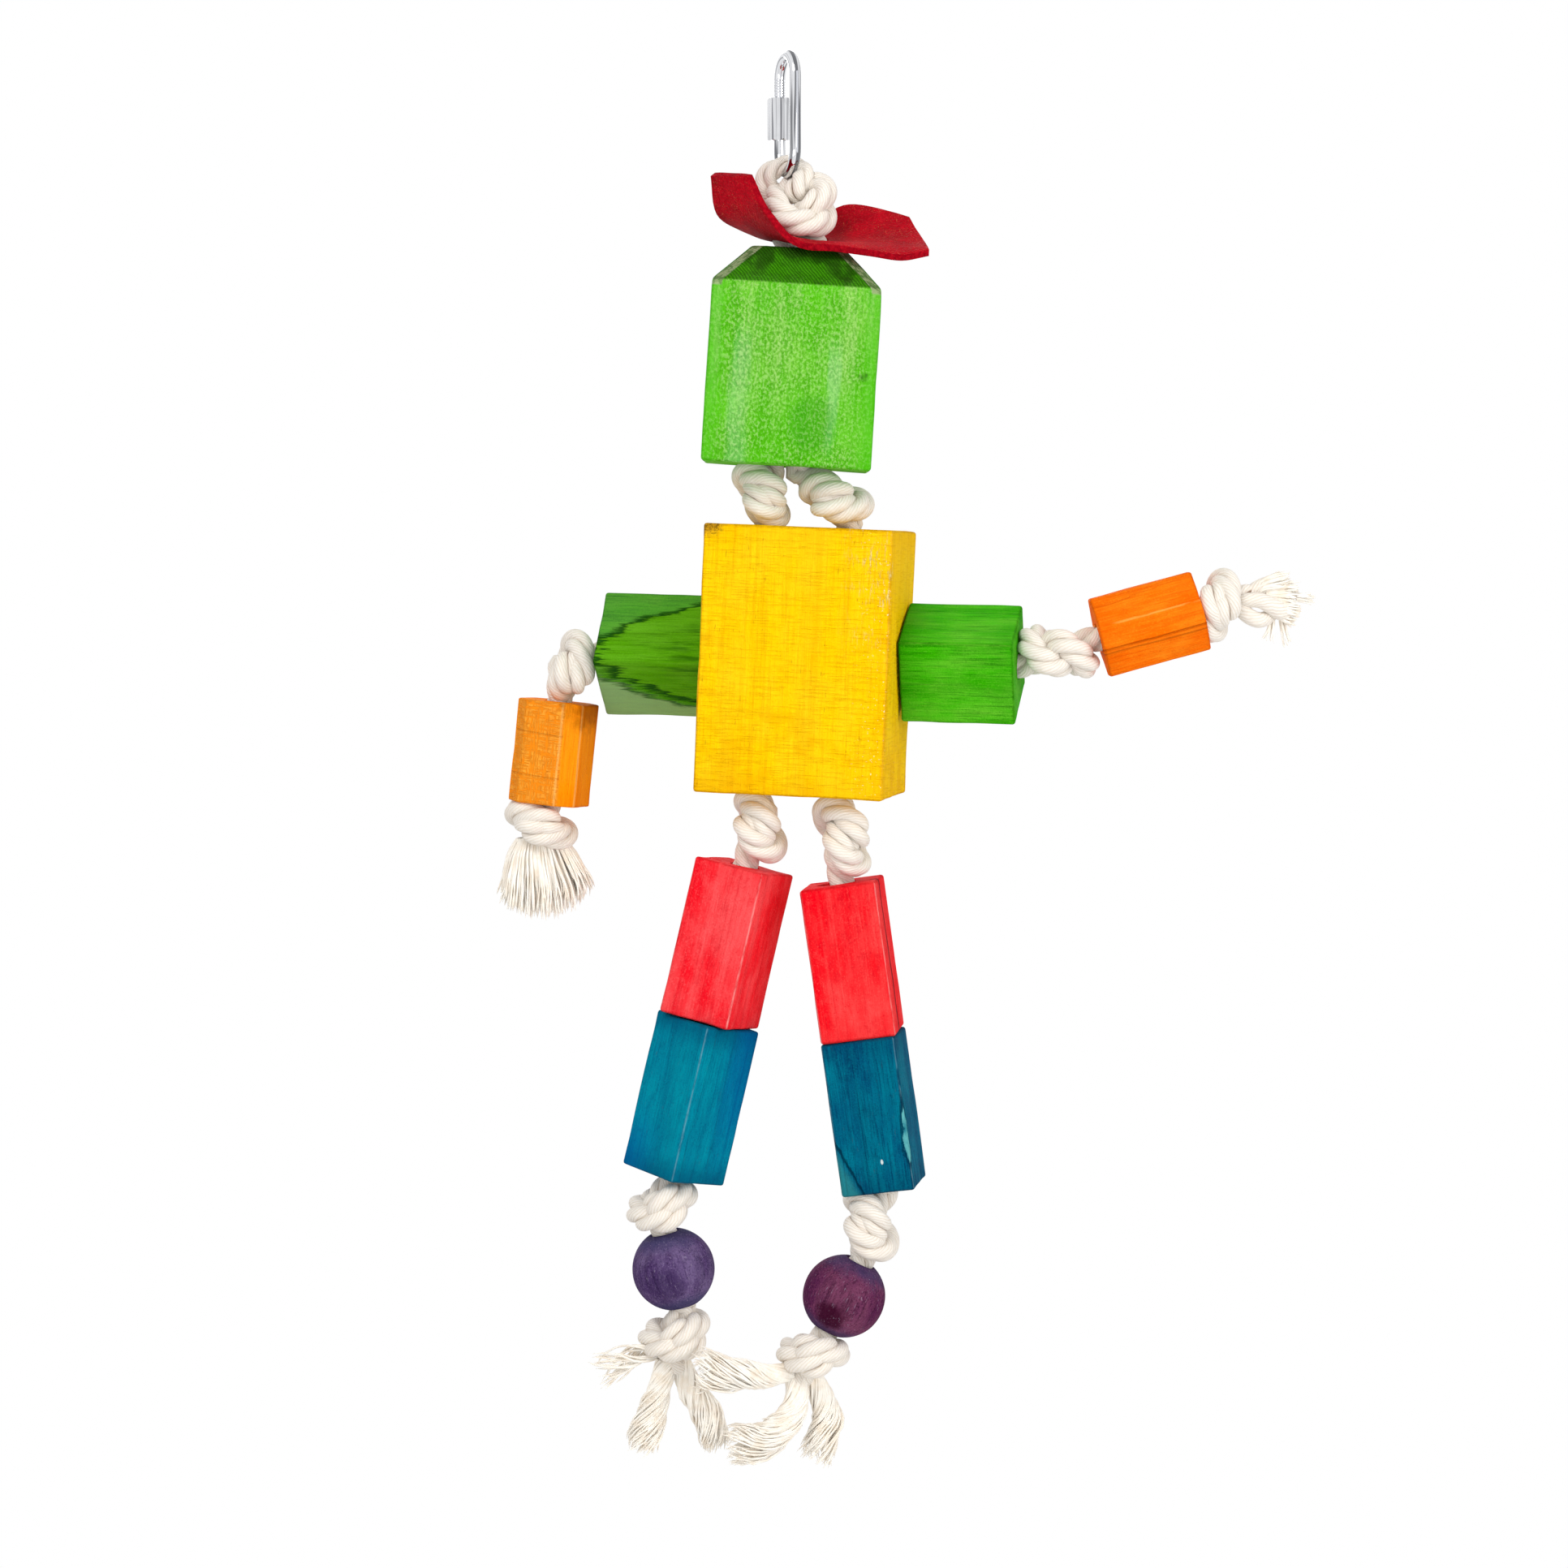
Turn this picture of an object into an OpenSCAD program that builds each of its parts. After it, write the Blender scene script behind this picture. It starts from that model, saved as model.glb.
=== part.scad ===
// Hanging toy figure of dyed wooden blocks, strung on knotted cotton rope under a steel quick link.
// Millimetres. +Z is up and the figure's front faces -Y. The origin is the inside top of the link,
// where the toy hangs. Left and right are as seen from the front.

/* [Quick link] */
// Diameter of the link's wire
link_wire = 3.5; // [2.5:0.1:5]
// Length of the link over both bows
link_len = 38; // [34:0.5:60]
// Distance between the centres of the link's two legs
link_pitch = 13.5; // [12:0.1:20]
// Length of the sleeve nut
nut_len = 12.6; // [9:0.1:16]
// Width of the sleeve nut across its flats
nut_flats = 6.4; // [5.6:0.1:8]
// Travel of the sleeve nut along its leg
nut_travel = 5.2; // [3:0.1:6]
// Pitch of the link's thread
thread_pitch = 0.8; // [0.5:0.05:1.2]

/* [Rope] */
// Diameter of the three-strand cotton rope
rope_d = 8; // [6:0.1:9.5]
// Gap all round between the rope and its bore
bore_gap = 0.5; // [0.2:0.1:1]
// Gap between pieces that rest against each other
seat = 0.2; // [0.1:0.05:0.5]

/* [Head and hat] */
// Width of the head block
head_w = 50; // [44:0.5:70]
// Depth of the head block
head_d = 48; // [40:0.5:70]
// Height of the head block
head_h = 64.5; // [45:0.5:90]
// Leg of the bevel round the top of the head
head_bevel = 11; // [4:0.5:14]
// Length of the leather strip of the hat, from tip to tip
hat_len = 66; // [50:0.5:90]
// Width of the leather strip
hat_w = 31; // [26:0.5:40]
// Rise of the hat's turned-up left tip
hat_rise = 22; // [16:0.5:30]
// Thickness of the leather
hat_t = 2; // [1.2:0.1:3]

/* [Body] */
// Width of the body block
body_w = 57; // [48:0.5:80]
// Depth of the body block
body_d = 48; // [44:0.5:60]
// Height of the body block
body_h = 80; // [60:0.5:110]
// Distance of each leg rope's bore from the middle of the body
leg_bore_x = 12.5; // [11:0.1:18]
// Distance of the leg ropes' bores in front of the middle of the body
leg_bore_front = 6; // [5:0.1:8]
// Distance of the arm rope's bore behind the middle of the body
arm_bore_back = 8; // [6:0.1:12]
// Depth of the arm rope's bore below the top of the body
arm_bore_drop = 40; // [25:0.5:50]

/* [Limbs] */
// Side of the square upper arm blocks
arm_side = 27; // [20:0.5:34]
// Length of the upper arm blocks
arm_len = 34.5; // [25:0.5:50]
// Side of the forearm blocks
forearm_side = 22; // [18:0.5:28]
// Length of the forearm blocks
forearm_len = 31.5; // [22:0.5:45]
// Flat cut along the forearms' long edges
forearm_cut = 5; // [1:0.1:6]
// Side of the thigh blocks
thigh_side = 23; // [18:0.5:25]
// Length of the thigh blocks, left and right
thigh_len = [48.2, 46.5]; // [30:0.1:60]
// Side of the shin blocks
shin_side = 22.5; // [18:0.5:26]
// Length of the shin blocks, left and right
shin_len = [48.2, 46.5]; // [30:0.1:60]
// Diameter of the round beads
bead_d = 25; // [20:0.5:32]
// Height of the beads between the flats at their bores
bead_h = 23; // [16:0.5:24]
// Easing of the blocks' sharp edges
ease = 0.9; // [0.3:0.1:2]

/* [Pose] */
// Turn of the link's plane away from the view along Y
link_yaw = 20; // [-90:1:90]
// Run of the loop and top knot, from the link to the top of the head
crown_run = [3.6, 0, -23]; // [-60:0.1:60]
// Lean of the head to the right
head_lean = 3.6; // [-15:0.1:15]
// Run of the neck, from the bottom of the head to the top of the body
neck_run = [7.8, 6, -17.9]; // [-60:0.1:60]
// Lean of the body to the right
body_lean = 2.4; // [-15:0.1:15]
// Turn of the body, showing its right side
body_yaw = -10; // [-30:1:30]
// Tilt of the arm rope's bore from square to the body
arm_tilt = -1.1; // [-3:0.1:3]
// Turn of the upper arms about their rope, left and right
arm_turn = [51, 26]; // [-180:1:180]
// Run of the left elbow
elbow_run_left = [-14.2, 0, -14.6]; // [-60:0.1:60]
// Run of the right elbow
elbow_run_right = [23.4, -3.5, 8.2]; // [-60:0.1:60]
// Lean of the forearms, left and right, where 0 hangs straight down
forearm_lean = [5.8, -105.3]; // [-180:0.1:180]
// Turn of the forearms about their rope, left and right
forearm_turn = [10, 45]; // [-180:1:180]
// Run of the left hip
hip_run_left = [-3.4, 0, -22.2]; // [-60:0.1:60]
// Run of the right hip
hip_run_right = [1.1, 0, -26]; // [-60:0.1:60]
// Lean of the legs, left and right
leg_lean = [13.1, -8]; // [-30:0.1:30]
// Turn of the thighs about their rope, left and right
thigh_turn = [-25, -8]; // [-180:1:180]
// Turn of the shins about their rope, left and right
shin_turn = [-45, -11]; // [-180:1:180]
// Run of the left ankle
ankle_run_left = [-2.6, 0, -17.4]; // [-60:0.1:60]
// Run of the right ankle
ankle_run_right = [-7.2, 0, -22.6]; // [-60:0.1:60]
// Lean of the beads, left and right
bead_lean = [-14, 25.7]; // [-45:0.1:45]
// Lean of the foot knots, left and right
foot_lean = [8, 30]; // [-45:0.1:45]

/* [Hidden] */
$fn = 48;
LEFT = 0;
RIGHT = 1;
side = [-1, 1];

rope_white = [0.93, 0.90, 0.85];
leaf_green = [0.30, 0.68, 0.18];
grass_green = [0.22, 0.55, 0.10];
sun_yellow = [0.97, 0.74, 0.05];
orange_dye = [0.94, 0.48, 0.06];
coral_red = [0.88, 0.22, 0.24];
teal_blue = [0.05, 0.44, 0.58];
plum = [0.36, 0.22, 0.42];
leather_red = [0.68, 0.08, 0.12];
bright_steel = [0.80, 0.81, 0.83];

// Placing: a frame is a 4 by 4 matrix, and a point or direction is carried through it
function shift(v) = [[1, 0, 0, v.x], [0, 1, 0, v.y], [0, 0, 1, v.z], [0, 0, 0, 1]];
function turn_x(a) = [[1, 0, 0, 0], [0, cos(a), -sin(a), 0], [0, sin(a), cos(a), 0], [0, 0, 0, 1]];
function turn_y(a) = [[cos(a), 0, sin(a), 0], [0, 1, 0, 0], [-sin(a), 0, cos(a), 0], [0, 0, 0, 1]];
function turn_z(a) = [[cos(a), -sin(a), 0, 0], [sin(a), cos(a), 0, 0], [0, 0, 1, 0], [0, 0, 0, 1]];
function at(m, p) = let (q = m * [p.x, p.y, p.z, 1]) [q.x, q.y, q.z];
function along(m, v) = at(m, v) - at(m, [0, 0, 0]);
function unit(v) = v / norm(v);

// Quick link
bow_r = link_pitch / 2;
wire_r = link_wire / 2;
bow_z = 1.5 * link_wire - link_len;
leg_top = wire_r - bow_r;
leg_bottom = bow_z + bow_r;
thread_r = wire_r - 0.05;
thread_depth = 0.22;
nut_bore_r = wire_r + 0.1;
nut_top = leg_top - nut_travel;
gate_bite = 1;
gate_bottom = nut_top - nut_len + gate_bite;
gate_top = gate_bottom + nut_travel - gate_bite;
link_frame = turn_z(link_yaw);

// Frames of the strung pieces, each worked out from the piece above it
bore_d = rope_d + 2 * bore_gap;
rope_pair = rope_d + seat;
pair_bore_d = 2 * rope_d + seat + 2 * bore_gap;
head_frame = shift([0, 0, bow_z] + crown_run) * turn_y(head_lean);
head_foot = at(head_frame, [0, 0, -head_h]);
body_frame = shift(head_foot + neck_run) * turn_y(body_lean) * turn_z(body_yaw);
arm_frame = body_frame * shift([0, arm_bore_back, -arm_bore_drop]) * turn_y(arm_tilt);
arm_start = body_w / 2 + seat + 0.71 * arm_side * sin(abs(arm_tilt));
arm_reach = arm_start + arm_len;
elbow_run = [elbow_run_left, elbow_run_right];
hip_run = [hip_run_left, hip_run_right];
ankle_run = [ankle_run_left, ankle_run_right];
leg_len = [for (s = [LEFT, RIGHT]) thigh_len[s] + seat + shin_len[s]];
function neck_top(s) = at(head_frame, [side[s] * rope_pair / 2, 0, -head_h - seat]);
function neck_foot(s) = at(body_frame, [side[s] * leg_bore_x, -leg_bore_front, seat]);
function arm_end(s) = at(arm_frame, [side[s] * (arm_reach + seat), 0, 0]);
function forearm_frame(s) = shift(arm_end(s) + elbow_run[s]) * turn_y(forearm_lean[s]);
function hip_top(s) = at(body_frame, [side[s] * leg_bore_x, -leg_bore_front, -body_h - seat]);
function leg_frame(s) = shift(hip_top(s) + hip_run[s]) * turn_y(leg_lean[s]);
function ankle_top(s) = at(leg_frame(s), [0, 0, -leg_len[s] - seat]);
function foot_frame(s) = shift(ankle_top(s) + ankle_run[s]) * turn_y(bead_lean[s]);

// Overhand knot: the rope's route from the middle of the knot to where it leaves the top, as shares
// of the pass spacing across and of the knot's half height along, with the rope's share of full
// thickness last. The other half is this one turned half round about Y.
knot_half = [
    [0, 0.8, 0, 0.9], [-0.55, 0.75, -0.55, 1], [-0.85, 0.25, -1.05, 1], [-0.75, -0.5, -1.25, 1],
    [-0.2, -1.0, -1.05, 1], [0.3, -1.05, -0.5, 1], [0.5, -0.65, 0.1, 0.85], [0.15, -0.15, 0.5, 0.6],
    [-0.1, 0, 1.0, 0.8]
];
knot_reach = 1.27;
knot_rope_r = 0.38 * rope_d;
knot_pitch = 0.86 * rope_d;
tail_r = 0.42 * rope_d;
tail_lead = 1.6;

function knot_core(height, hand) = let (
    rise = (height / 2 - knot_rope_r - seat) / knot_reach,
    pinch = min(1, 0.42 * norm([0.3 * knot_pitch, rise]) / (0.6 * knot_rope_r)),
    half = [for (p = knot_half) [
        hand * p.x * knot_pitch, p.y * knot_pitch, p.z * rise,
        p[3] * knot_rope_r * (p[3] < 0.7 ? pinch : 1)
    ]],
    last = len(half) - 1
) concat(
    [for (i = [last:-1:1]) half[i]],
    [for (i = [0:last]) [-half[i][0], half[i][1], -half[i][2], half[i][3]]]
);

// Carries the knot's core between two ends: from enters along from_dir and to leaves along to_dir
function knot_route(from, from_dir, to, to_dir, hand, spin, height, bulge = [0, 0, 0]) = let (
    down = unit(to - from),
    back = unit([0, 1, 0] - down * (down * [0, 1, 0])),
    right = cross(back, -down),
    ex = right * cos(spin) + back * sin(spin),
    ey = back * cos(spin) - right * sin(spin),
    middle = (from + to) / 2 + bulge,
    core = [for (p = knot_core(height, hand)) let (
        q = middle + ex * p.x + ey * p.y - down * p.z
    ) [q.x, q.y, q.z, p[3]]],
    lead_in = from + from_dir * tail_lead,
    lead_out = to - to_dir * tail_lead
) concat(
    [concat(from, tail_r), concat(lead_in, tail_r)], core,
    [concat(lead_out, tail_r), concat(to, tail_r)]
);

// Smooth curve through a route's points, with steps rings for each stretch
function bend(a, b, c, d, t) = 0.5 * (
    2 * b + (c - a) * t + (2 * a - 5 * b + 4 * c - d) * t * t + (3 * b - a - 3 * c + d) * t * t * t
);
function smooth(route, steps) = let (n = len(route) - 1) concat(
    [for (i = [0:n - 1], k = [0:steps - 1]) bend(
        route[max(i - 1, 0)], route[i], route[i + 1], route[min(i + 2, n)], k / steps
    )],
    [route[n]]
);

// A tube of the given number of sides along a path of points with radii
function point(p) = [p.x, p.y, p.z];
function rope_heading(path, i) = let (n = len(path) - 1) unit(
    i == 0 ? point(path[1] - path[0]) :
    i == n ? point(path[n] - path[n - 1]) :
    unit(point(path[i + 1] - path[i])) + unit(point(path[i] - path[i - 1]))
);
function upright(v, t) = unit(v - t * (v * t));

module tube(path, sides, flat) {
    n = len(path);
    first = rope_heading(path, 0);
    start = upright(abs(first.y) < 0.9 ? [0, 1, 0] : [1, 0, 0], first);
    normals = [for (
        i = 0, v = start; i < n;
        i = i + 1, v = i < n ? upright(v, rope_heading(path, i)) : v
    ) v];
    rings = [for (i = [0:n - 1]) let (t = rope_heading(path, i), w = cross(t, normals[i]))
        for (k = [0:sides - 1]) let (a = 360 * k / sides)
        point(path[i]) + path[i][3] * (flat * cos(a) * normals[i] + sin(a) * w)];
    walls = [for (i = [0:n - 2], k = [0:sides - 1]) let (
        a = i * sides + k, b = i * sides + (k + 1) % sides
    ) each [[a, a + sides, b], [b, a + sides, b + sides]]];
    caps = [for (k = [1:sides - 2]) each [
        [0, k, k + 1], [(n - 1) * sides, (n - 1) * sides + k + 1, (n - 1) * sides + k]
    ]];
    polyhedron(points = rings, faces = concat(walls, caps), convexity = 8);
}

// A route's first and last stretches stay straight, so that its ends are square to their bores
function straight_ended(route, steps) = let (
    curve = smooth(route, steps), n = len(route) - 1, last = len(curve) - 1
) [for (i = [0:last])
    i < steps ? route[0] + (route[1] - route[0]) * i / steps :
    i > last - steps ? route[n] + (route[n - 1] - route[n]) * (last - i) / steps : curve[i]
];

// A rope is built in lengths between the cuts, each starting inside the one before it, so that
// passes which press into each other in a knot become one solid
module rope(route, cuts = [], steps = 2, sides = 8, flat = 1, square = true) {
    path = square ? straight_ended(route, steps) : smooth(route, steps);
    ends = concat([0], cuts * steps, [len(path) - 1]);
    for (i = [0:len(ends) - 2]) tube([for (k = [ends[i] - (i > 0 ? 1 : 0):ends[i + 1]])
        k < ends[i] ? concat(point(path[k]), 0.85 * path[k][3]) : path[k]], sides, flat);
}

module knot(route) {
    rope(route, [floor(len(route) / 2)]);
}

// A straight run of rope inside a bore, down from the frame's origin
module rope_core(length) {
    translate([0, 0, -length]) cylinder(d = rope_d, h = length);
}

// Wooden block with every edge eased, down from the frame's origin along -Z
function cut_rect(w, h, c) = [
    [c - w / 2, -h / 2], [w / 2 - c, -h / 2], [w / 2, c - h / 2], [w / 2, h / 2 - c],
    [w / 2 - c, h / 2], [c - w / 2, h / 2], [-w / 2, h / 2 - c], [-w / 2, c - h / 2]
];

module block(w, d, h, cut = ease) {
    translate([0, 0, -h / 2]) intersection() {
        linear_extrude(h, center = true) polygon(cut_rect(w, d, cut));
        rotate([90, 0, 0]) linear_extrude(d, center = true) polygon(cut_rect(w, h, ease));
        rotate([90, 0, 90]) linear_extrude(w, center = true) polygon(cut_rect(d, h, ease));
    }
}

module bored_block(w, d, h, cut = ease) {
    difference() {
        block(w, d, h, cut);
        translate([0, 0, -h - 1]) cylinder(d = bore_d, h = h + 2);
    }
}

module quick_link() {
    color(bright_steel) multmatrix(link_frame) {
        difference() {
            union() {
                for (end = [[leg_top, 0], [leg_bottom, 180]])
                    translate([0, 0, end[0]]) rotate([90, end[1], 90])
                        rotate_extrude(angle = 180) translate([bow_r, 0]) circle(wire_r);
                translate([0, -bow_r, leg_bottom]) cylinder(r = wire_r, h = leg_top - leg_bottom);
                translate([0, bow_r, leg_bottom]) cylinder(r = wire_r, h = leg_top - leg_bottom);
            }
            translate([0, bow_r, gate_bottom])
                cylinder(r = 2 * wire_r, h = gate_top - gate_bottom);
            translate([0, bow_r, nut_top]) for (z = [thread_pitch / 2:thread_pitch:nut_travel])
                translate([0, 0, z]) rotate_extrude() translate([thread_r - thread_depth, 0])
                    polygon([[0, 0], [2 * thread_depth, thread_pitch / 2.4],
                        [2 * thread_depth, -thread_pitch / 2.4]]);
        }
    }
}

module link_nut() {
    corner_r = nut_flats / sqrt(3);
    color(bright_steel) multmatrix(link_frame) translate([0, bow_r, nut_top - nut_len])
        difference() {
            intersection() {
                rotate([0, 0, 30]) cylinder(r = corner_r, h = nut_len, $fn = 6);
                rotate_extrude() polygon([
                    [0, 0], [nut_flats / 2, 0], [corner_r + 0.1, 0.6],
                    [corner_r + 0.1, nut_len - 0.6], [nut_flats / 2, nut_len], [0, nut_len]
                ]);
            }
            translate([0, 0, -1]) cylinder(r = nut_bore_r, h = nut_len + 2);
        }
}

// The loop runs through the link, and its knot sits in the hat
eye_r = 0.3 * rope_d;
eye_out = wire_r + eye_r + 1.15;
crown_knot_h = 16.5;
crown_drop = 2.4;
crown_side = 2;

module crown_knot() {
    bow = [0, 0, bow_z];
    entry = [for (s = [LEFT, RIGHT]) at(head_frame, [side[s] * rope_pair / 2, 0, 0])];
    up = along(head_frame, [0, 0, 1]);
    knot_top = bow + [eye_out, 0, 0.5];
    knot_foot = entry[RIGHT];
    middle = bow + [crown_run.x + crown_side, -1, -crown_knot_h / 2 - crown_drop];
    core = [for (p = knot_core(crown_knot_h, -1)) let (q = middle + [p.x, p.y, p.z])
        [q.x, q.y, q.z, p[3]]];
    route = concat(
        [concat(entry[LEFT], tail_r), concat(entry[LEFT] + tail_lead * up, tail_r)],
        [concat(entry[LEFT] + [0.5, 0.5, 4.5], tail_r)],
        [concat(middle + [-9.4, 4, -3], knot_rope_r), concat(middle + [-9.6, 4, 4], knot_rope_r)],
        [concat(bow + [-eye_out, 0.5, 0.5], eye_r), concat(bow + [0, 0, eye_out], eye_r)],
        [concat(knot_top, eye_r)], core,
        [concat(knot_foot + tail_lead * up, tail_r), concat(knot_foot, tail_r)]
    );
    color(rope_white) rope(route, [6, 16]);
}

// Leather strip: its front edge, middle and back edge from the left tip to the right, as shares of
// hat_len, hat_w and hat_rise from the middle of the head's top
hat_front = [
    [-0.24, -0.43, 0.86], [-0.18, -0.48, 0.5], [-0.12, -0.51, 0.27], [-0.05, -0.52, 0.1],
    [0.04, -0.52, 0.02], [0.17, -0.53, 0.02], [0.31, -0.53, -0.02], [0.46, -0.5, -0.06], [0.58, -0.38, -0.01]
];
hat_middle = [
    [-0.33, -0.25, 0.87], [-0.3, 0, 0.48], [-0.22, 0, 0.24], [-0.12, 0, 0.09],
    [0, 0, 0.05], [0.13, 0, 0.06], [0.27, 0, 0.15], [0.41, 0, 0.19], [0.54, 0, 0.21]
];
hat_back = [
    [-0.41, -0.05, 0.88], [-0.38, 0.28, 0.42], [-0.28, 0.43, 0.26], [-0.17, 0.47, 0.16],
    [-0.05, 0.5, 0.15], [0.07, 0.5, 0.36], [0.19, 0.48, 0.61], [0.34, 0.45, 0.6], [0.49, 0.32, 0.48]
];
hat_size = [hat_len, hat_w, hat_rise];
hat_steps = 2;
hat_across = 6;

function hat_edge(points) = smooth([for (p = points) [
    p.x * hat_size.x, p.y * hat_size.y, p.z * hat_size.z
]], hat_steps);

module hat() {
    front = hat_edge(hat_front);
    middle = hat_edge(hat_middle);
    back = hat_edge(hat_back);
    n = len(front);
    m = hat_across + 1;
    net = [for (i = [0:n - 1]) [for (j = [0:m - 1]) let (v = 2 * j / hat_across - 1)
        front[i] * v * (v - 1) / 2 + middle[i] * (1 - v * v) + back[i] * v * (v + 1) / 2]];
    lift = [for (i = [0:n - 1]) [for (j = [0:m - 1]) hat_t / 2 * unit(cross(
        net[min(i + 1, n - 1)][j] - net[max(i - 1, 0)][j],
        net[i][min(j + 1, m - 1)] - net[i][max(j - 1, 0)]
    ))]];
    points = [for (up = [1, -1], i = [0:n - 1], j = [0:m - 1])
        net[i][j] + up * lift[i][j] + [0, 0, hat_t / 2 + seat]];
    under = n * m;
    rim = concat(
        [for (j = [0:m - 1]) j], [for (i = [1:n - 1]) i * m + m - 1],
        [for (j = [m - 2:-1:0]) (n - 1) * m + j], [for (i = [n - 2:-1:1]) i * m]
    );
    faces = concat(
        [for (i = [0:n - 2], j = [0:m - 2]) let (a = i * m + j) each [
            [a, a + 1, a + m], [a + 1, a + m + 1, a + m],
            [under + a, under + a + m, under + a + 1],
            [under + a + 1, under + a + m, under + a + m + 1]
        ]],
        [for (k = [0:len(rim) - 1]) let (a = rim[k], b = rim[(k + 1) % len(rim)]) each [
            [a, under + a, b], [b, under + a, under + b]
        ]]
    );
    color(leather_red) multmatrix(head_frame) difference() {
        polyhedron(points = points, faces = faces, convexity = 6);
        translate([0, 0, -hat_rise]) cylinder(d = pair_bore_d, h = 2 * hat_rise);
    }
}

function bevel_top(w) = [
    [ease - w / 2, -head_h], [w / 2 - ease, -head_h], [w / 2, ease - head_h],
    [w / 2, -head_bevel], [w / 2 - head_bevel, 0], [head_bevel - w / 2, 0],
    [-w / 2, -head_bevel], [-w / 2, ease - head_h]
];

module head_block() {
    color(leaf_green) multmatrix(head_frame) difference() {
        intersection() {
            rotate([90, 0, 0]) linear_extrude(head_d, center = true) polygon(bevel_top(head_w));
            rotate([90, 0, 90]) linear_extrude(head_w, center = true) polygon(bevel_top(head_d));
            translate([0, 0, -head_h]) linear_extrude(head_h) polygon(cut_rect(head_w, head_d, ease));
        }
        translate([0, 0, -head_h - 1]) cylinder(d = pair_bore_d, h = head_h + 2);
    }
}

module head_ropes() {
    color(rope_white) multmatrix(head_frame) for (s = side)
        translate([s * rope_pair / 2, 0, -seat]) rope_core(head_h - seat);
}

module neck_knot(s) {
    out = along(head_frame, [0, 0, -1]);
    in = along(body_frame, [0, 0, -1]);
    color(rope_white) knot(knot_route(
        neck_top(s), out, neck_foot(s), in, -1, [10, -14][s], norm(neck_run) - [3.6, 3.2][s],
        [[-2.5, -1, 0.4], [2.3, -1, -1.3]][s]
    ));
}

module body_block() {
    color(sun_yellow) multmatrix(body_frame) difference() {
        block(body_w, body_d, body_h);
        for (s = side) translate([s * leg_bore_x, -leg_bore_front, -body_h - 1])
            cylinder(d = bore_d, h = body_h + 2);
        translate([0, arm_bore_back, -arm_bore_drop]) rotate([0, 90 + arm_tilt, 0])
            cylinder(d = bore_d, h = 2 * body_w, center = true);
    }
}

module body_ropes() {
    color(rope_white) multmatrix(body_frame) for (s = side)
        translate([s * leg_bore_x, -leg_bore_front, 0]) rope_core(body_h);
}

module arm_rope() {
    color(rope_white) multmatrix(arm_frame) rotate([0, 90, 0])
        translate([0, 0, arm_reach]) rope_core(2 * arm_reach);
}

module upper_arm(s) {
    color(grass_green) multmatrix(arm_frame) rotate([arm_turn[s], 0, 0])
        translate([side[s] * arm_start, 0, 0]) rotate([0, -90 * side[s], 0])
            bored_block(arm_side, arm_side, arm_len);
}

module elbow_knot(s) {
    out = along(arm_frame, [side[s], 0, 0]);
    in = along(forearm_frame(s), [0, 0, -1]);
    foot = at(forearm_frame(s), [0, 0, seat]);
    color(rope_white) knot(knot_route(
        arm_end(s), out, foot, in, [-1, 1][s], [20, 0][s], [16, 21.2][s], [[-4, 0, 3], [0, 0, 0]][s]
    ));
}

module forearm(s) {
    color(orange_dye) multmatrix(forearm_frame(s)) rotate(forearm_turn[s])
        bored_block(forearm_side, forearm_side, forearm_len, forearm_cut);
}

module forearm_rope(s) {
    color(rope_white) multmatrix(forearm_frame(s)) rope_core(forearm_len);
}

// Hands: a knot under each forearm, then the rope's end teased out
hand_knot_h = [14.5, 15.5];
hand_frame = [for (s = [LEFT, RIGHT]) forearm_frame(s) * shift([0, 0, -forearm_len - seat])];

module hand_knot(s) {
    down = along(hand_frame[s], [0, 0, -1]);
    foot = at(hand_frame[s], [0, 0, -hand_knot_h[s] - tail_lead]);
    color(rope_white) knot(knot_route(
        at(hand_frame[s], [0, 0, 0]), down, foot, down, [-1, 1][s], [0, 8][s], hand_knot_h[s], [0, 0, 0]
    ));
}

// Bundles of teased-out yarn from the last knots, from where the rope ends: offset and half width
hand_bundle = [
    [[[0, 0, 2, 3.5], [0, 0, -5, 7.5], [0.6, 0, -11, 11], [1, 0, -18, 12.8]]],
    [[[-2, 0, -0.5, 3.5], [4, -0.5, 0, 5.5], [10, -0.5, 0.5, 8], [13.5, 0, 0, 7.6], [16, 0, 0.5, 4.5]]]
];
foot_bundle = [
    [
        [[-2, 0, 3, 2.4], [-8, -2, 1.5, 3], [-13, -3, -0.5, 3.4], [-18, -4, -3, 2.4]],
        [[-2.5, -1, 0, 3], [-5, -1, -9, 3.6], [-7, 0, -18, 4.4], [-9, 0, -26, 4.8]],
        [[1, 1, 0, 3], [4.5, 2, -9, 3.8], [9.5, 3, -17.5, 4.6], [12.5, 4, -26, 5]]
    ],
    [
        [[-3, -2, 2.5, 2.8], [-10, -7, 2, 3.4], [-18, -11, 3.5, 5], [-29, -12, 5, 7]],
        [[-1, -1, 0, 3], [-1, -3, -7, 3.6], [-5, -4, -14, 4.6], [-12, -4, -18.5, 5.8], [-20, -4, -19, 6.4]],
        [[3, 2, 1, 3], [7, 3, -7, 3.6], [8.5, 3, -14, 4.6], [5.5, 2, -24, 5.4]]
    ]
];

module bundles(root, list, flat) {
    for (b = list) rope([for (p = b) concat(root + point(p), p[3])], flat = flat, square = false);
}

module hand_tassel(s) {
    root = at(hand_frame[s], [0, 0, -hand_knot_h[s] - tail_lead - seat]);
    color(rope_white) bundles(root, hand_bundle[s], 0.55);
}

module hip_knot(s) {
    out = along(body_frame, [0, 0, -1]);
    in = along(leg_frame(s), [0, 0, -1]);
    foot = at(leg_frame(s), [0, 0, seat]);
    color(rope_white) knot(knot_route(
        hip_top(s), out, foot, in, -1, [-8, 12][s], norm(hip_run[s]) - 3.5, [[1.6, 0, 1], [0, 0, 1.2]][s]
    ));
}

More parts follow.
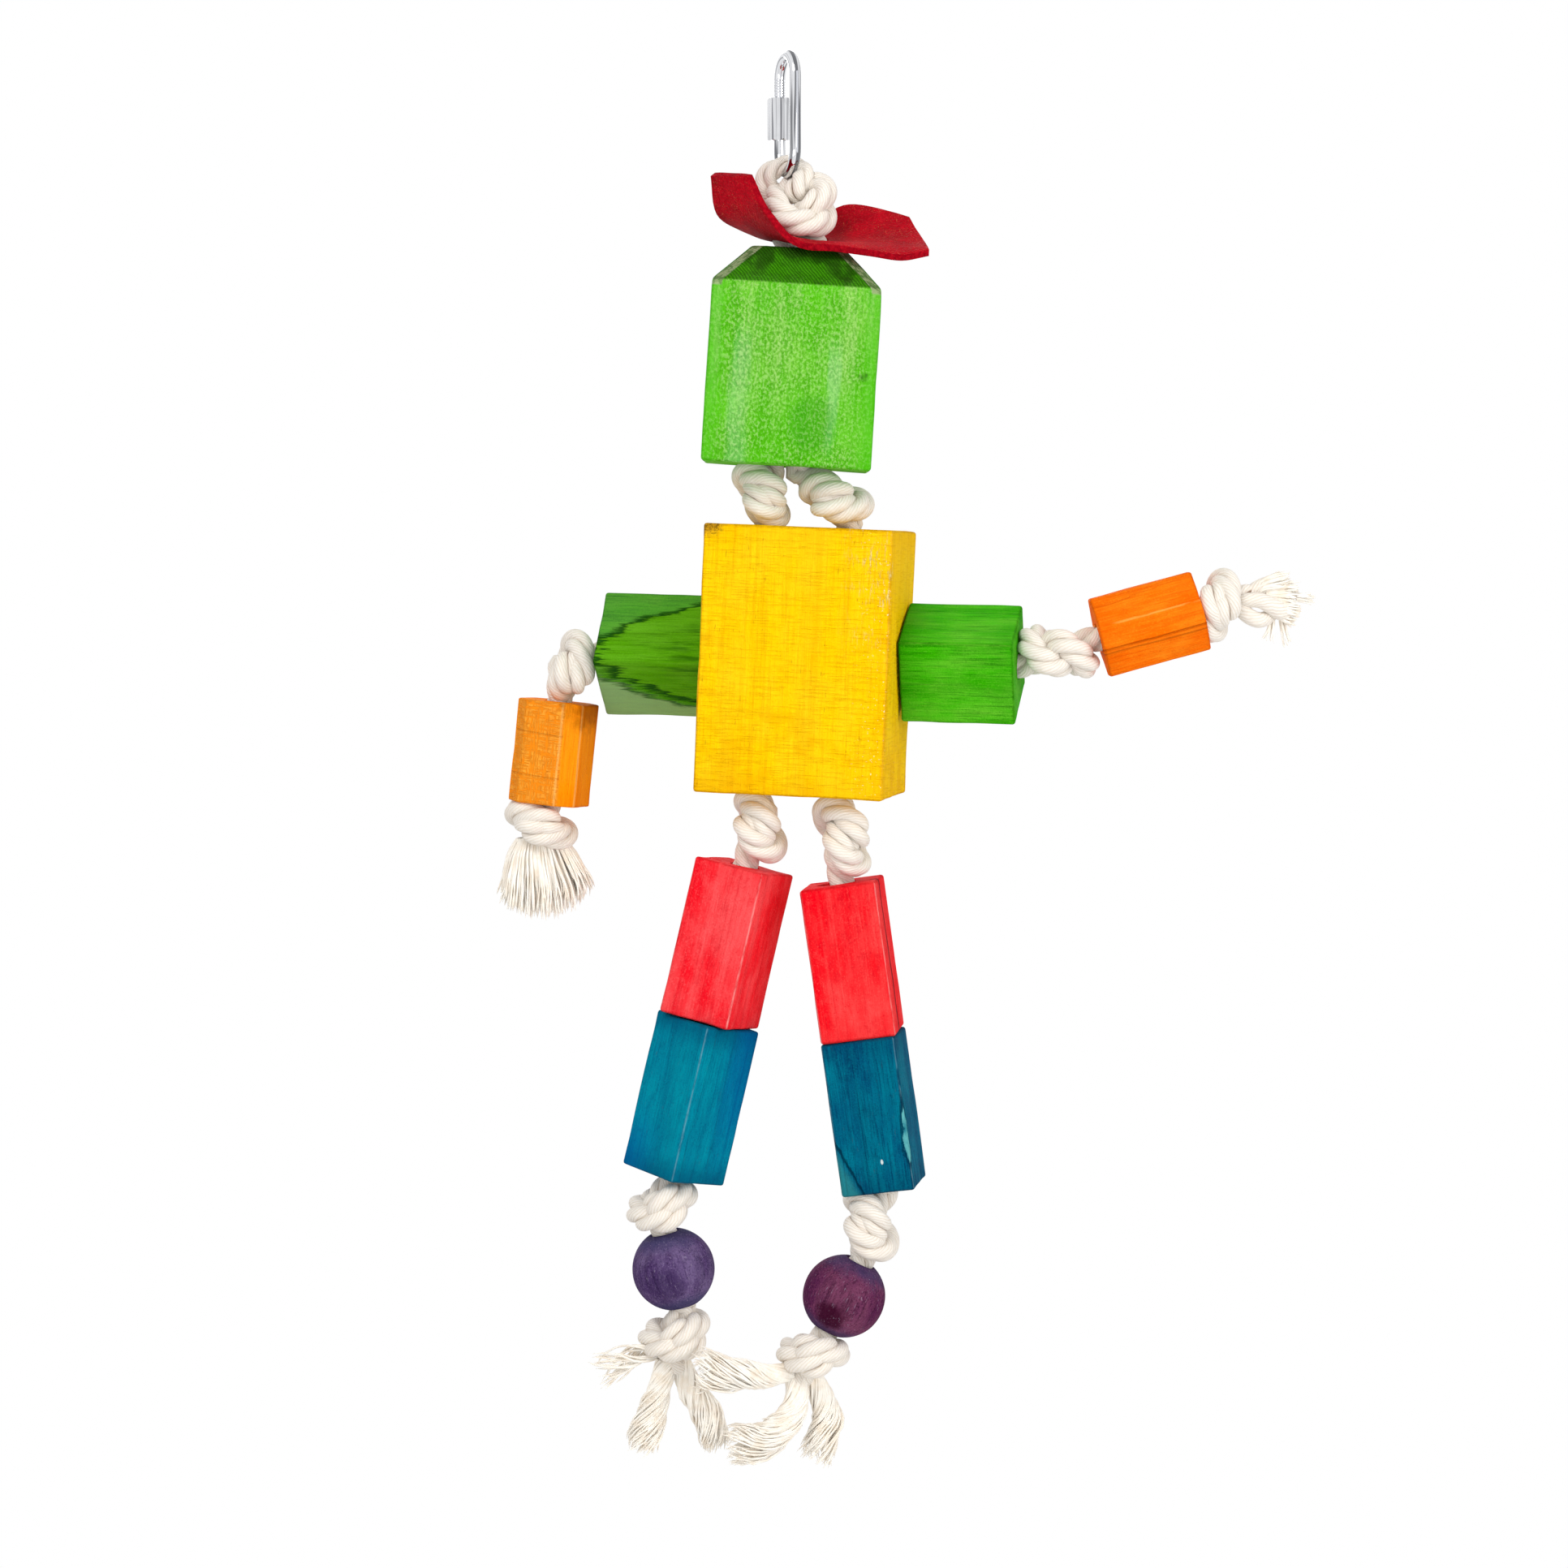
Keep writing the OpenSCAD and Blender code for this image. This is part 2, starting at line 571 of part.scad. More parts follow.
module leg_rope(s) {
    color(rope_white) multmatrix(leg_frame(s)) rope_core(leg_len[s]);
}

module thigh(s) {
    color(coral_red) multmatrix(leg_frame(s)) rotate(thigh_turn[s])
        bored_block(thigh_side, thigh_side, thigh_len[s]);
}

module shin(s) {
    color(teal_blue) multmatrix(leg_frame(s)) translate([0, 0, -thigh_len[s] - seat])
        rotate(shin_turn[s]) bored_block(shin_side, shin_side, shin_len[s]);
}

module ankle_knot(s) {
    out = along(leg_frame(s), [0, 0, -1]);
    in = along(foot_frame(s), [0, 0, -1]);
    foot = at(foot_frame(s), [0, 0, seat]);
    color(rope_white) knot(knot_route(
        ankle_top(s), out, foot, in, [1, -1][s], [15, -10][s], norm(ankle_run[s]) - [2, 4.2][s],
        [[-2, 0, 0], [0, 0, -1]][s]
    ));
}

module bead(s) {
    color(plum) multmatrix(foot_frame(s)) translate([0, 0, -bead_h / 2]) difference() {
        intersection() {
            sphere(d = bead_d);
            cylinder(d = bead_d, h = bead_h, center = true);
        }
        cylinder(d = bore_d, h = bead_d + 2, center = true);
    }
}

module bead_rope(s) {
    color(rope_white) multmatrix(foot_frame(s)) rope_core(bead_h);
}

// Feet: a knot under each bead, then three teased-out bundles
foot_knot_h = 15;
foot_end_frame = [for (s = [LEFT, RIGHT])
    shift(at(foot_frame(s), [0, 0, -bead_h - seat])) * turn_y(foot_lean[s])];

module foot_knot(s) {
    out = along(foot_frame(s), [0, 0, -1]);
    down = along(foot_end_frame[s], [0, 0, -1]);
    foot = at(foot_end_frame[s], [0, 0, -foot_knot_h - tail_lead]);
    color(rope_white) knot(knot_route(
        at(foot_end_frame[s], [0, 0, 0]), out, foot, down, 1, [30, -5][s], foot_knot_h,
        [[-1.5, 0, 0], [0, 0, 0.5]][s]
    ));
}

module foot_tassel(s) {
    root = at(foot_end_frame[s], [0, 0, -foot_knot_h - tail_lead - seat]);
    color(rope_white) bundles(root, foot_bundle[s], 0.8);
}

quick_link();
link_nut();
crown_knot();
hat();
head_block();
head_ropes();
neck_knot(LEFT);  // neck_knot_left
neck_knot(RIGHT);  // neck_knot_right
body_block();
body_ropes();
arm_rope();
upper_arm(LEFT);  // upper_arm_left
upper_arm(RIGHT);  // upper_arm_right
elbow_knot(LEFT);  // elbow_knot_left
elbow_knot(RIGHT);  // elbow_knot_right
forearm(LEFT);  // forearm_left
forearm(RIGHT);  // forearm_right
forearm_rope(LEFT);  // forearm_rope_left
forearm_rope(RIGHT);  // forearm_rope_right
hand_knot(LEFT);  // hand_knot_left
hand_knot(RIGHT);  // hand_knot_right
hand_tassel(LEFT);  // hand_tassel_left
hand_tassel(RIGHT);  // hand_tassel_right
hip_knot(LEFT);  // hip_knot_left
hip_knot(RIGHT);  // hip_knot_right
leg_rope(LEFT);  // leg_rope_left
leg_rope(RIGHT);  // leg_rope_right
thigh(LEFT);  // thigh_left
thigh(RIGHT);  // thigh_right
shin(LEFT);  // shin_left
shin(RIGHT);  // shin_right
ankle_knot(LEFT);  // ankle_knot_left
ankle_knot(RIGHT);  // ankle_knot_right
bead_rope(LEFT);  // bead_rope_left
bead_rope(RIGHT);  // bead_rope_right
bead(LEFT);  // bead_left
bead(RIGHT);  // bead_right
foot_knot(LEFT);  // foot_knot_left
foot_knot(RIGHT);  // foot_knot_right
foot_tassel(LEFT);  // foot_tassel_left
foot_tassel(RIGHT);  // foot_tassel_right
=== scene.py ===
import math
import random

import bpy
from mathutils import Matrix, Vector, noise


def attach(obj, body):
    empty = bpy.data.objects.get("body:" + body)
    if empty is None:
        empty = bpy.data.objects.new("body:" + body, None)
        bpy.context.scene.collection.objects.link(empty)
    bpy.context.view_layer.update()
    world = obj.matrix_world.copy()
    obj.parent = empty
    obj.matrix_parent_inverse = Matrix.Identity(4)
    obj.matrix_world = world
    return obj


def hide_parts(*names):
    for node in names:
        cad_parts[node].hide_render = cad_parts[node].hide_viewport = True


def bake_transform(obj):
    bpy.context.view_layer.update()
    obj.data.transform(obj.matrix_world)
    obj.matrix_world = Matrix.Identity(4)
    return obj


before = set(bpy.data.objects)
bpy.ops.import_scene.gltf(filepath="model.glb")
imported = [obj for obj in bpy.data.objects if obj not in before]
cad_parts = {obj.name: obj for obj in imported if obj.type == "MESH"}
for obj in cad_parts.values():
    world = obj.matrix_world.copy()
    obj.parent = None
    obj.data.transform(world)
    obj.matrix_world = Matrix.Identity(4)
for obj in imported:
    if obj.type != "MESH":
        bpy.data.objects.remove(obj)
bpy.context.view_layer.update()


# Quick link and its sleeve nut: steel wire bent to a long eye, with a threaded gate that the hexagonal nut
# closes. Both are bright plated, with fine drawing marks, dark streaks along the wire that are painted
# reflections, and a few dull patches. The toy hangs by it.
def maths(operation):
    return lambda wire, *others: wire.math(operation, wire, *others)


class Wire:
    """A socket in a material's tree. Sums, products and powers of wires add Math nodes."""
    __add__, __sub__, __mul__ = maths("ADD"), maths("SUBTRACT"), maths("MULTIPLY")
    __truediv__, __pow__, __abs__ = maths("DIVIDE"), maths("POWER"), maths("ABSOLUTE")

    def __init__(self, tree, socket=None):
        self.tree = tree
        self.socket = socket

    def node(self, kind, sockets, out=0, **settings):
        made = self.tree.nodes.new("ShaderNode" + kind)
        for name, value in settings.items():
            setattr(made, name, value)
        for name, value in sockets.items():
            if isinstance(value, Wire):
                self.tree.links.new(value.socket, made.inputs[name])
            else:
                made.inputs[name].default_value = value
        return Wire(self.tree, made.outputs[out] if made.outputs else None)

    def math(self, operation, *values):
        return self.node("Math", dict(enumerate(values)), operation=operation)

    def __rsub__(self, other):
        return self.math("SUBTRACT", other, self)

    def larger(self, a, b):
        return self.math("MAXIMUM", a, b)

    def smaller(self, a, b):
        return self.math("MINIMUM", a, b)

    def outputs(self):
        return [Wire(self.tree, socket) for socket in self.socket.node.outputs]

    def parts(self):
        return self.node("SeparateXYZ", {"Vector": self}).outputs()

    def ramp(self, low, high):
        """0 below low, 1 above high and smooth between; low above high turns it round."""
        flip = low > high
        ends = {"From Min": min(low, high), "From Max": max(low, high), "To Min": float(flip),
                "To Max": float(not flip)}
        return self.node("MapRange", {"Value": self, **ends}, interpolation_type="SMOOTHSTEP")

    def mix(self, factor, a, b):
        return self.node("Mix", {0: factor, 6: a, 7: b}, 2, data_type="RGBA")

    def coats(self, tone, *coats):
        """Colours laid over a tone in turn, each by its share."""
        for share, colour in coats:
            tone = self.mix(share, tone, colour)
        return tone

    def spot(self):
        return self.node("TexCoord", {}, 3)

    def grow(self, vector, scale):
        return self.node("Mapping", {"Vector": vector, "Scale": scale})

    def noise(self, vector, scale, detail=3.0, rough=0.55):
        looks = {"Scale": scale, "Detail": detail, "Roughness": rough}
        return self.node("TexNoise", {"Vector": vector, **looks})

    def drawn(self, vector, share, scale, detail=3.0, rough=0.55):
        """Noise drawn out along Z, as wood fibres run."""
        return self.noise(self.grow(vector, (1, 1, share)), scale, detail, rough)

    def bump(self, height, strength, distance):
        return self.node("Bump", {"Height": height, "Strength": strength, "Distance": distance})

    def close(self, shader):
        self.node("OutputMaterial", {"Surface": shader})

    def surface(self, colour, rough, normal, **others):
        named = {name.replace("_", " "): value for name, value in others.items()}
        usual = {"Base Color": colour, "Roughness": rough, "Normal": normal}
        self.close(self.node("BsdfPrincipled", {**usual, **named}))


def new_material(name):
    material = bpy.data.materials.new(name)
    material.use_nodes = True
    material.node_tree.nodes.clear()
    return material, Wire(material.node_tree)


def dye(red, green, blue):
    """A colour as it looks, in screen values from 0 to 255, for a shader."""
    shares = (red / 255, green / 255, blue / 255)
    return (*(c / 12.92 if c <= 0.04045 else ((c + 0.055) / 1.055) ** 2.4 for c in shares), 1.0)


BOW_CENTRES = (0.005, 0.026)
LINK_TURN = (0.938, 0.347)


def bright_plating(name, bright, dark):
    """Plated steel: dark lines that follow the wire round its bows, painted reflections with drawing marks in
    their bump, and dull patches from hands.
    """
    material, w = new_material(name)
    spot = w.spot()
    x, y, z = spot.parts()
    beyond = w.larger(w.larger(z + BOW_CENTRES[0], -BOW_CENTRES[1] - z), 0.0)
    inward = ((y * LINK_TURN[0] - x * LINK_TURN[1]) ** 2.0 + beyond * beyond) ** 0.5
    flat = x * LINK_TURN[0] + y * LINK_TURN[1]
    wire = w.node("CombineXYZ", {0: flat, 1: inward, 2: z * 0.02})
    lines = w.noise(wire, 1100, 2, 0.5)
    dull = w.noise(spot, 200, 3, 0.6).ramp(0.55, 0.75)
    # Painted reflection: the dark lines along the wire stand in for the studio mirrored in the plating.
    painted_reflection_tint = w.mix(lines.ramp(0.48, 0.62) * 0.85, bright, dark)
    w.surface(w.mix(dull * 0.3, painted_reflection_tint, dye(150, 149, 148)), dull * 0.14 + lines * 0.08 + 0.05,
              w.bump(lines + dull * 0.3, 0.12, 0.0003), Metallic=1.0)
    return material


def finish_cad(node, material):
    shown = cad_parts[node]
    shown.data.materials.clear()
    shown.data.materials.append(material)


finish_cad("quick_link", bright_plating("bright wire", dye(228, 229, 232), dye(70, 72, 78)))
finish_cad("link_nut", bright_plating("bright nut", dye(222, 223, 226), dye(112, 112, 118)))

# Top loop and knot: one length of natural white three-strand cotton rope, doubled over the link and tied in
# an overhand knot that sits down in the hat. Both legs go on through the head. Lengths are in millimetres.
SIGNS = (-1, 1)
ROPE = 8.0
LAY = 21.0
SEAT = 0.2
PASS = 0.9 * ROPE
KNOT_R = 0.53 * ROPE
HALF_KNOT = (
    (0, 0.8, 0, 0.95), (-0.55, 0.75, -0.55, 1), (-0.85, 0.25, -1.05, 1), (-0.75, -0.5, -1.25, 1),
    (-0.2, -1.0, -1.05, 1), (0.3, -1.05, -0.5, 1), (0.5, -0.65, 0.1, 0.85), (0.15, -0.15, 0.5, 0.7),
    (-0.1, 0, 1.0, 0.85))
KNOT_ENDS = 0.46 * ROPE
KNOT_RISE = 1.27


def shift(x, y, z):
    return Matrix.Translation((x, y, z))


def turn_by(degrees, axis):
    return Matrix.Rotation(math.radians(degrees), 4, axis)


def knot_core(height, hand, wide=1.0):
    rise = (height / 2 - KNOT_ENDS) / KNOT_RISE
    half = [(hand * x * PASS * wide, y * PASS, z * rise, r * KNOT_R) for x, y, z, r in HALF_KNOT]
    return half[:0:-1] + [(-x, y, -z, r) for x, y, z, r in half]


def curve_through(route, steps):
    last = len(route) - 1
    points = []
    for i in range(last):
        a, b, c, d = (Vector(route[min(max(k, 0), last)]) for k in (i - 1, i, i + 1, i + 2))
        for k in range(steps):
            t = k / steps
            bend = (2 * a - 5 * b + 4 * c - d) * t ** 2
            points.append((2 * b + (c - a) * t + bend + (3 * b - a - 3 * c + d) * t ** 3) / 2)
    return points + [Vector(route[last])]


def run_along(points):
    run = [0.0]
    for a, b in zip(points, points[1:]):
        run.append(run[-1] + (b.xyz - a.xyz).length)
    return run


def even_steps(points, step):
    marks = run_along(points)
    count = max(4, int(marks[-1] / step))
    even, k = [], 0
    for i in range(count + 1):
        s = marks[-1] * i / count
        while k < len(points) - 2 and marks[k + 1] < s:
            k += 1
        even.append(points[k].lerp(points[k + 1], (s - marks[k]) / max(marks[k + 1] - marks[k], 1e-9)))
    return even


def directions(points):
    last = len(points) - 1
    return [(points[min(i + 1, last)] - points[max(i - 1, 0)]).normalized() for i in range(last + 1)]


def carried(tangents, first):
    """A direction square to the path, carried along it without twist."""
    sides = []
    for t in tangents:
        first = (first - t * first.dot(t)).normalized()
        sides.append(first)
    return sides


def sweep(path, radii, outs, tangents, sides, lap):
    """Rings of points round a path, with their faces, and how far each point is turned from out."""
    points, turned, faces, laps = [], [], [], []
    for i, centre in enumerate(path):
        out, across = outs[i], tangents[i].cross(outs[i])
        for k in range(sides):
            a = math.tau * k / sides
            points.append(centre + radii[i] * (math.cos(a) * out + math.sin(a) * across))
            turned.append(math.cos(a))
    for i in range(len(path) - 1):
        for k in range(sides):
            n = (k + 1) % sides
            faces.append((i * sides + k, i * sides + n, (i + 1) * sides + n, (i + 1) * sides + k))
            near, far = k / sides, (k + 1) / sides
            laps += [lap[i], near, lap[i], far, lap[i + 1], far, lap[i + 1], near]
    return points, turned, faces, laps


def add_object(name, data):
    made = bpy.data.objects.new(name, data)
    bpy.context.collection.objects.link(made)
    return made


def piece_from(name, parts, material):
    """One mesh object from several swept parts, with its lay in a UV map and, in an attribute, how far each
    point turns into the creases, for the rope's painted crease shade.
    """
    points, creases, faces, laps = [], [], [], []
    for part_points, part_turned, part_faces, part_laps in parts:
        start = len(points)
        points += part_points
        creases += part_turned
        faces += [tuple(start + k for k in face) for face in part_faces]
        laps += part_laps
    mesh = bpy.data.meshes.new(name)
    mesh.from_pydata([0.001 * p for p in points], [], faces)
    mesh.uv_layers.new(name="lay").data.foreach_set("uv", laps)
    mesh.attributes.new("painted_crease_shade", "FLOAT", "POINT").data.foreach_set("value", creases)
    mesh.materials.append(material)
    mesh.shade_smooth()
    return add_object(name, mesh)


def lay_rope(name, route, material):
    """Three strands laid round each other along a route, once round in a length of lay."""
    path = even_steps(curve_through(route, 12), 0.55)
    centre = [p.xyz for p in path]
    tangents = directions(centre)
    sides = carried(tangents, Vector((0, 1, 0)) if abs(tangents[0].y) < 0.9 else Vector((1, 0, 0)))
    run = run_along(centre)
    parts = []
    for strand in range(3):
        line, outs = [], []
        for i, p in enumerate(centre):
            a = math.tau * (strand / 3 - run[i] / LAY)
            out = math.cos(a) * sides[i] + math.sin(a) * tangents[i].cross(sides[i])
            line.append(p + out * path[i].w * 0.5)
            outs.append(out)
        ahead = directions(line)
        outs = [(o - t * o.dot(t)).normalized() for o, t in zip(outs, ahead)]
        parts.append(sweep(line, [p.w * 0.51 for p in path], outs, ahead, 16, [s / 10 for s in run]))
    return piece_from(name, parts, material)


def cotton(name):
    """Soft spun yarns that run round each strand, cream on the crowns, with painted shade that turns them
    brownish down in the creases.
    """
    material, w = new_material(name)
    along, around, _ = w.node("UVMap", {}, uv_map="lay").parts()
    spot = w.spot()
    turned = w.node("Attribute", {}, 2, attribute_name="painted_crease_shade")
    fuzz = w.noise(spot, 2300, 4, 0.7)
    wander = w.noise(spot, 300, 3) * 1.3
    yarn = w.math("SINE", (around * 13 + along * 5.6 + wander) * math.tau) * 0.5 + 0.5
    hair = w.math("SINE", (around * 41 + along * 15 + wander * 3) * math.tau) * 0.5 + 0.5
    tone = w.coats(
        w.mix(yarn.ramp(0.0, 0.6), dye(232, 221, 206), dye(251, 245, 237)),
        (hair * 0.4, dye(232, 221, 206)),
        (w.noise(spot, 70, 3).ramp(0.48, 0.75) * 0.3, dye(240, 226, 210)),
        # Painted shade: the strands' sides and the creases between them are darkened by how far they turn
        # from out.
        (turned.ramp(0.3, -0.35) * 0.35, dye(220, 202, 180)),
        (turned.ramp(-0.08, -0.36) * 0.85, dye(132, 100, 74)),
        (fuzz.ramp(0.58, 0.8) * 0.35, dye(252, 248, 242)))
    w.surface(tone, 0.92, w.bump(yarn * 0.6 + hair * 0.3 + fuzz * 0.3, 0.6, 0.0005), Specular_IOR_Level=0.2,
              Sheen_Weight=0.2, Sheen_Roughness=0.5)
    return material


rope_cotton = cotton("natural cotton rope")
BOW_Z = -32.75
PAIR = ROPE + SEAT
CROWN_H = 19.5
HEAD_TUCK = 12
HEAD_TOP = (3.6, 0, BOW_Z - 23)
HEAD_LEAN = 3.6
head_frame = shift(*HEAD_TOP) @ turn_by(HEAD_LEAN, "Y")
middle = Vector((2.8, -3.0, BOW_Z - 9.7))
up = head_frame.to_3x3() @ Vector((0, 0, 1))
left_leg, right_leg = (head_frame @ Vector((sign * PAIR / 2, 0, 0)) for sign in SIGNS)
crown_route = [
    (*(left_leg - HEAD_TUCK * up), 3.9), (*left_leg, 3.9), (*(left_leg + 3 * up), 4.0),
    (-3.2, 4.2, BOW_Z - 15, 4.0), (-6.0, 5.4, BOW_Z - 8, 4.0), (-5.6, 2.6, BOW_Z - 0.6, 3.5),
    (0, 0, BOW_Z + 2.7, 2.5), (4.8, -0.5, BOW_Z + 0.2, 3.3)]
crown_turn = turn_by(90, "Z").to_3x3()
crown_route += [(*(middle + crown_turn @ Vector(p[:3])), p[3]) for p in knot_core(CROWN_H, 1)]
crown_route += [(*(right_leg + 2.5 * up), 4.0), (*right_leg, 3.9), (*(right_leg - HEAD_TUCK * up), 3.9)]
crown = lay_rope("top_loop", crown_route, rope_cotton)
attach(crown, "head")
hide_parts("crown_knot", "head_ropes")

# Hat: one strip of thick red leather with a hole for both legs of the rope. It curls up to a point on the
# left, droops over the front of the head and rolls forward on the right. Its cut edges are plainer.
HAT = (66.0, 31.0, 22.0)
HAT_FRONT = (
    (-0.24, -0.43, 0.86), (-0.18, -0.49, 0.5), (-0.12, -0.54, 0.27), (-0.05, -0.58, 0.1), (0.04, -0.61, 0.03),
    (0.17, -0.62, 0.035), (0.31, -0.6, -0.005), (0.46, -0.55, -0.06), (0.58, -0.42, -0.01))
HAT_MIDDLE = (
    (-0.33, -0.25, 0.87), (-0.3, 0, 0.48), (-0.22, 0, 0.24), (-0.12, 0, 0.09), (0, 0, 0.05), (0.13, 0, 0.06),
    (0.27, 0, 0.15), (0.41, 0, 0.19), (0.54, 0, 0.21))
HAT_BACK = (
    (-0.41, -0.05, 0.88), (-0.38, 0.28, 0.42), (-0.28, 0.43, 0.26), (-0.17, 0.47, 0.16), (-0.05, 0.5, 0.15),
    (0.07, 0.5, 0.36), (0.19, 0.48, 0.61), (0.34, 0.45, 0.6), (0.49, 0.32, 0.48))
HAT_DROOP = (0, 0, 0.3, 1.2, 1.9, 2.1, 1.9, 1.2, 0.4)
HAT_STEPS = 6
HAT_CELLS = 16
HAT_HOLE = 8.6
HAT_LIFT = Vector((0, 0, 1.2))
THROUGH = 60
MM = Matrix.Scale(0.001, 4)
noise.seed_set(2)


def pick_up(piece):
    bpy.ops.object.select_all(action="DESELECT")
    piece.select_set(True)
    bpy.context.view_layer.objects.active = piece


def apply_all(piece):
    pick_up(piece)
    for modifier in list(piece.modifiers):
        bpy.ops.object.modifier_apply(modifier=modifier.name)


def drill(piece, radius, depth, place):
    """Bores a round hole along the local Z of place."""
    bpy.ops.mesh.primitive_cylinder_add(vertices=48, radius=radius, depth=depth)
    bit = bpy.context.object
    bit.data.transform(place)
    cut = piece.modifiers.new("bore", "BOOLEAN")
    cut.object = bit
    cut.operation = "DIFFERENCE"
    apply_all(piece)
    bpy.data.objects.remove(bit)


def soften(piece, width, degrees):
    soft = piece.modifiers.new("soft edge", "BEVEL")
    soft.width, soft.segments = width, 2
    soft.limit_method, soft.angle_limit = "ANGLE", math.radians(degrees)
    apply_all(piece)


def red_leather(name, edge):
    material, w = new_material(name)
    spot = w.spot()
    pores = w.node("TexVoronoi", {"Vector": spot, "Scale": 1300}, feature="F1")
    folds = w.noise(spot, 800, 5, 0.65)
    patch = w.noise(spot, 85, 4, 0.6)
    if edge:
        red = w.mix(folds.ramp(0.35, 0.7), dye(136, 0, 18), dye(178, 10, 28))
    else:
        speck = w.noise(spot, 2400, 2).ramp(0.62, 0.7) * w.noise(spot, 190, 3).ramp(0.36, 0.62)
        red = w.coats(
            w.mix(patch.ramp(0.35, 0.68), dye(162, 0, 20), dye(204, 4, 30)),
            (pores.ramp(0.15, 0.6) * 0.45, dye(132, 0, 14)),
            (folds.ramp(0.5, 0.7) * 0.5, dye(206, 22, 40)),
            (speck * 0.6, dye(226, 140, 96)))
    w.surface(red, patch * 0.18 + (0.62 if edge else 0.5), w.bump(folds * 0.8 - pores * 0.6, 0.9, 0.0005),
              Specular_IOR_Level=0.03)
    return material


def hat_edge(shares):
    return [p.xyz for p in curve_through([(*(a * b for a, b in zip(p, HAT)), 0) for p in shares], HAT_STEPS)]


droops = [p.x for p in curve_through([(d, 0, 0, 0) for d in HAT_DROOP], HAT_STEPS)]
points = []
for f, m, b, droop in zip(hat_edge(HAT_FRONT), hat_edge(HAT_MIDDLE), hat_edge(HAT_BACK), droops):
    for v in (2 * k / HAT_CELLS - 1 for k in range(HAT_CELLS + 1)):
        p = f * v * (v - 1) / 2 + m * (1 - v * v) + b * v * (v + 1) / 2
        p -= Vector((0, 0, droop * max(0, (-v - 0.6) / 0.4) ** 2))
        points.append(p + HAT_LIFT + 0.25 * noise.noise_vector(p * 0.12))
row = HAT_CELLS + 1
starts = [i * row + k for i in range(len(droops) - 1) for k in range(HAT_CELLS)]
hat_mesh = bpy.data.meshes.new("leather_hat")
hat_mesh.from_pydata(points, [], [(n, n + row, n + row + 1, n + 1) for n in starts])
hat_mesh.materials.append(red_leather("red hat leather", False))
hat_mesh.materials.append(red_leather("cut leather edge", True))
hat = add_object("leather_hat", hat_mesh)
thick = hat.modifiers.new("thick", "SOLIDIFY")
thick.thickness, thick.offset, thick.material_offset_rim = 2.0, 0.0, 1
apply_all(hat)
drill(hat, HAT_HOLE, THROUGH, Matrix.Identity(4))
soften(hat, 0.45, 50)
hat_mesh.transform(MM @ head_frame)
bpy.ops.object.shade_smooth_by_angle(angle=math.radians(45))
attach(hat, "hat")
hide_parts("hat")

# Head: a block of softwood sawn square, bevelled round the top on the saw, bored down the middle and dyed
# leaf green. Its front and back are stippled all over, with painted highlights and shade on the stipple. The
# dye is darker on the sawn bevels, and a painted shadow of the hat darkens their upper part.
HEAD = (50.0, 48.0, 64.5)
BORE = 4.5
mode_set = bpy.ops.object.mode_set


def cut_off(at, normal):
    """Cuts away what lies beyond a plane and closes the cut."""
    bpy.ops.mesh.select_all(action="SELECT")
    bpy.ops.mesh.bisect(plane_co=at, plane_no=normal, clear_outer=True, use_fill=True)


def keep_grain(piece):
    """Keeps each point's place in the block, before it is put in the toy, for the wood's shader."""
    places = [c for v in piece.data.vertices for c in v.co]
    piece.data.attributes.new("grain", "FLOAT_VECTOR", "POINT").data.foreach_set("vector", places)


def sawn_block(name, size, place, seed, ease=0.9, chamfer=0.0, bevel=0.0, hip=0.0, cells=12,
               bores=((BORE, None),)):
    """A block from the frame's origin down to -size[2], then bored and put in its place."""
    bpy.ops.mesh.primitive_cube_add(size=1, location=(0, 0, -size[2] / 2))
    block = bpy.context.object
    block.name = block.data.name = name
    block.scale = size
    bpy.ops.object.transform_apply(location=True, rotation=False, scale=True)
    for cut, long_edges in ((chamfer, True), (bevel, False)):
        if cut:
            mode_set(mode="EDIT")
            bpy.ops.mesh.select_mode(type="EDGE")
            bpy.ops.mesh.select_all(action="DESELECT")
            mode_set(mode="OBJECT")
            for edge in block.data.edges:
                a, b = (block.data.vertices[k].co for k in edge.vertices)
                edge.select = abs(a.z - b.z) > 1 if long_edges else min(a.z, b.z) > -1
            mode_set(mode="EDIT")
            bpy.ops.mesh.bevel(offset=cut, segments=1, affect="EDGES")
            mode_set(mode="OBJECT")
    mode_set(mode="EDIT")
    bpy.ops.mesh.select_mode(type="EDGE")
    for sx, sy in ((-1, -1), (1, -1), (1, 1), (-1, 1)) if hip else ():
        slope = Vector((sx, sy, 2)).normalized()
        corner = Vector((sx * size[0] / 2, sy * size[1] / 2, -bevel))
        cut_off(corner - hip * slope, slope)
    bpy.ops.mesh.select_all(action="DESELECT")
    bpy.ops.mesh.edges_select_sharp(sharpness=math.radians(25))
    bpy.ops.mesh.bevel(offset=ease, segments=3, affect="EDGES")
    bpy.ops.mesh.select_all(action="SELECT")
    bpy.ops.mesh.subdivide(number_cuts=cells - 1)
    mode_set(mode="OBJECT")
    centre = Vector((0, 0, -size[2] / 2))
    for v in block.data.vertices:
        rubbed = noise.noise(v.co * 0.09 + Vector((seed, 0, 0)))
        v.co += 0.22 * noise.noise_vector(v.co * 0.045 + Vector((0, seed, 0)))
        v.co += (centre - v.co).normalized() * max(0.0, rubbed) * 0.35
    for radius, bore_place in bores:
        drill(block, radius, 3 * size[2], bore_place or Matrix.Translation(centre))
    keep_grain(block)
    block.data.transform(MM @ place)
    bpy.ops.object.shade_smooth_by_angle(angle=math.radians(38))
    return block


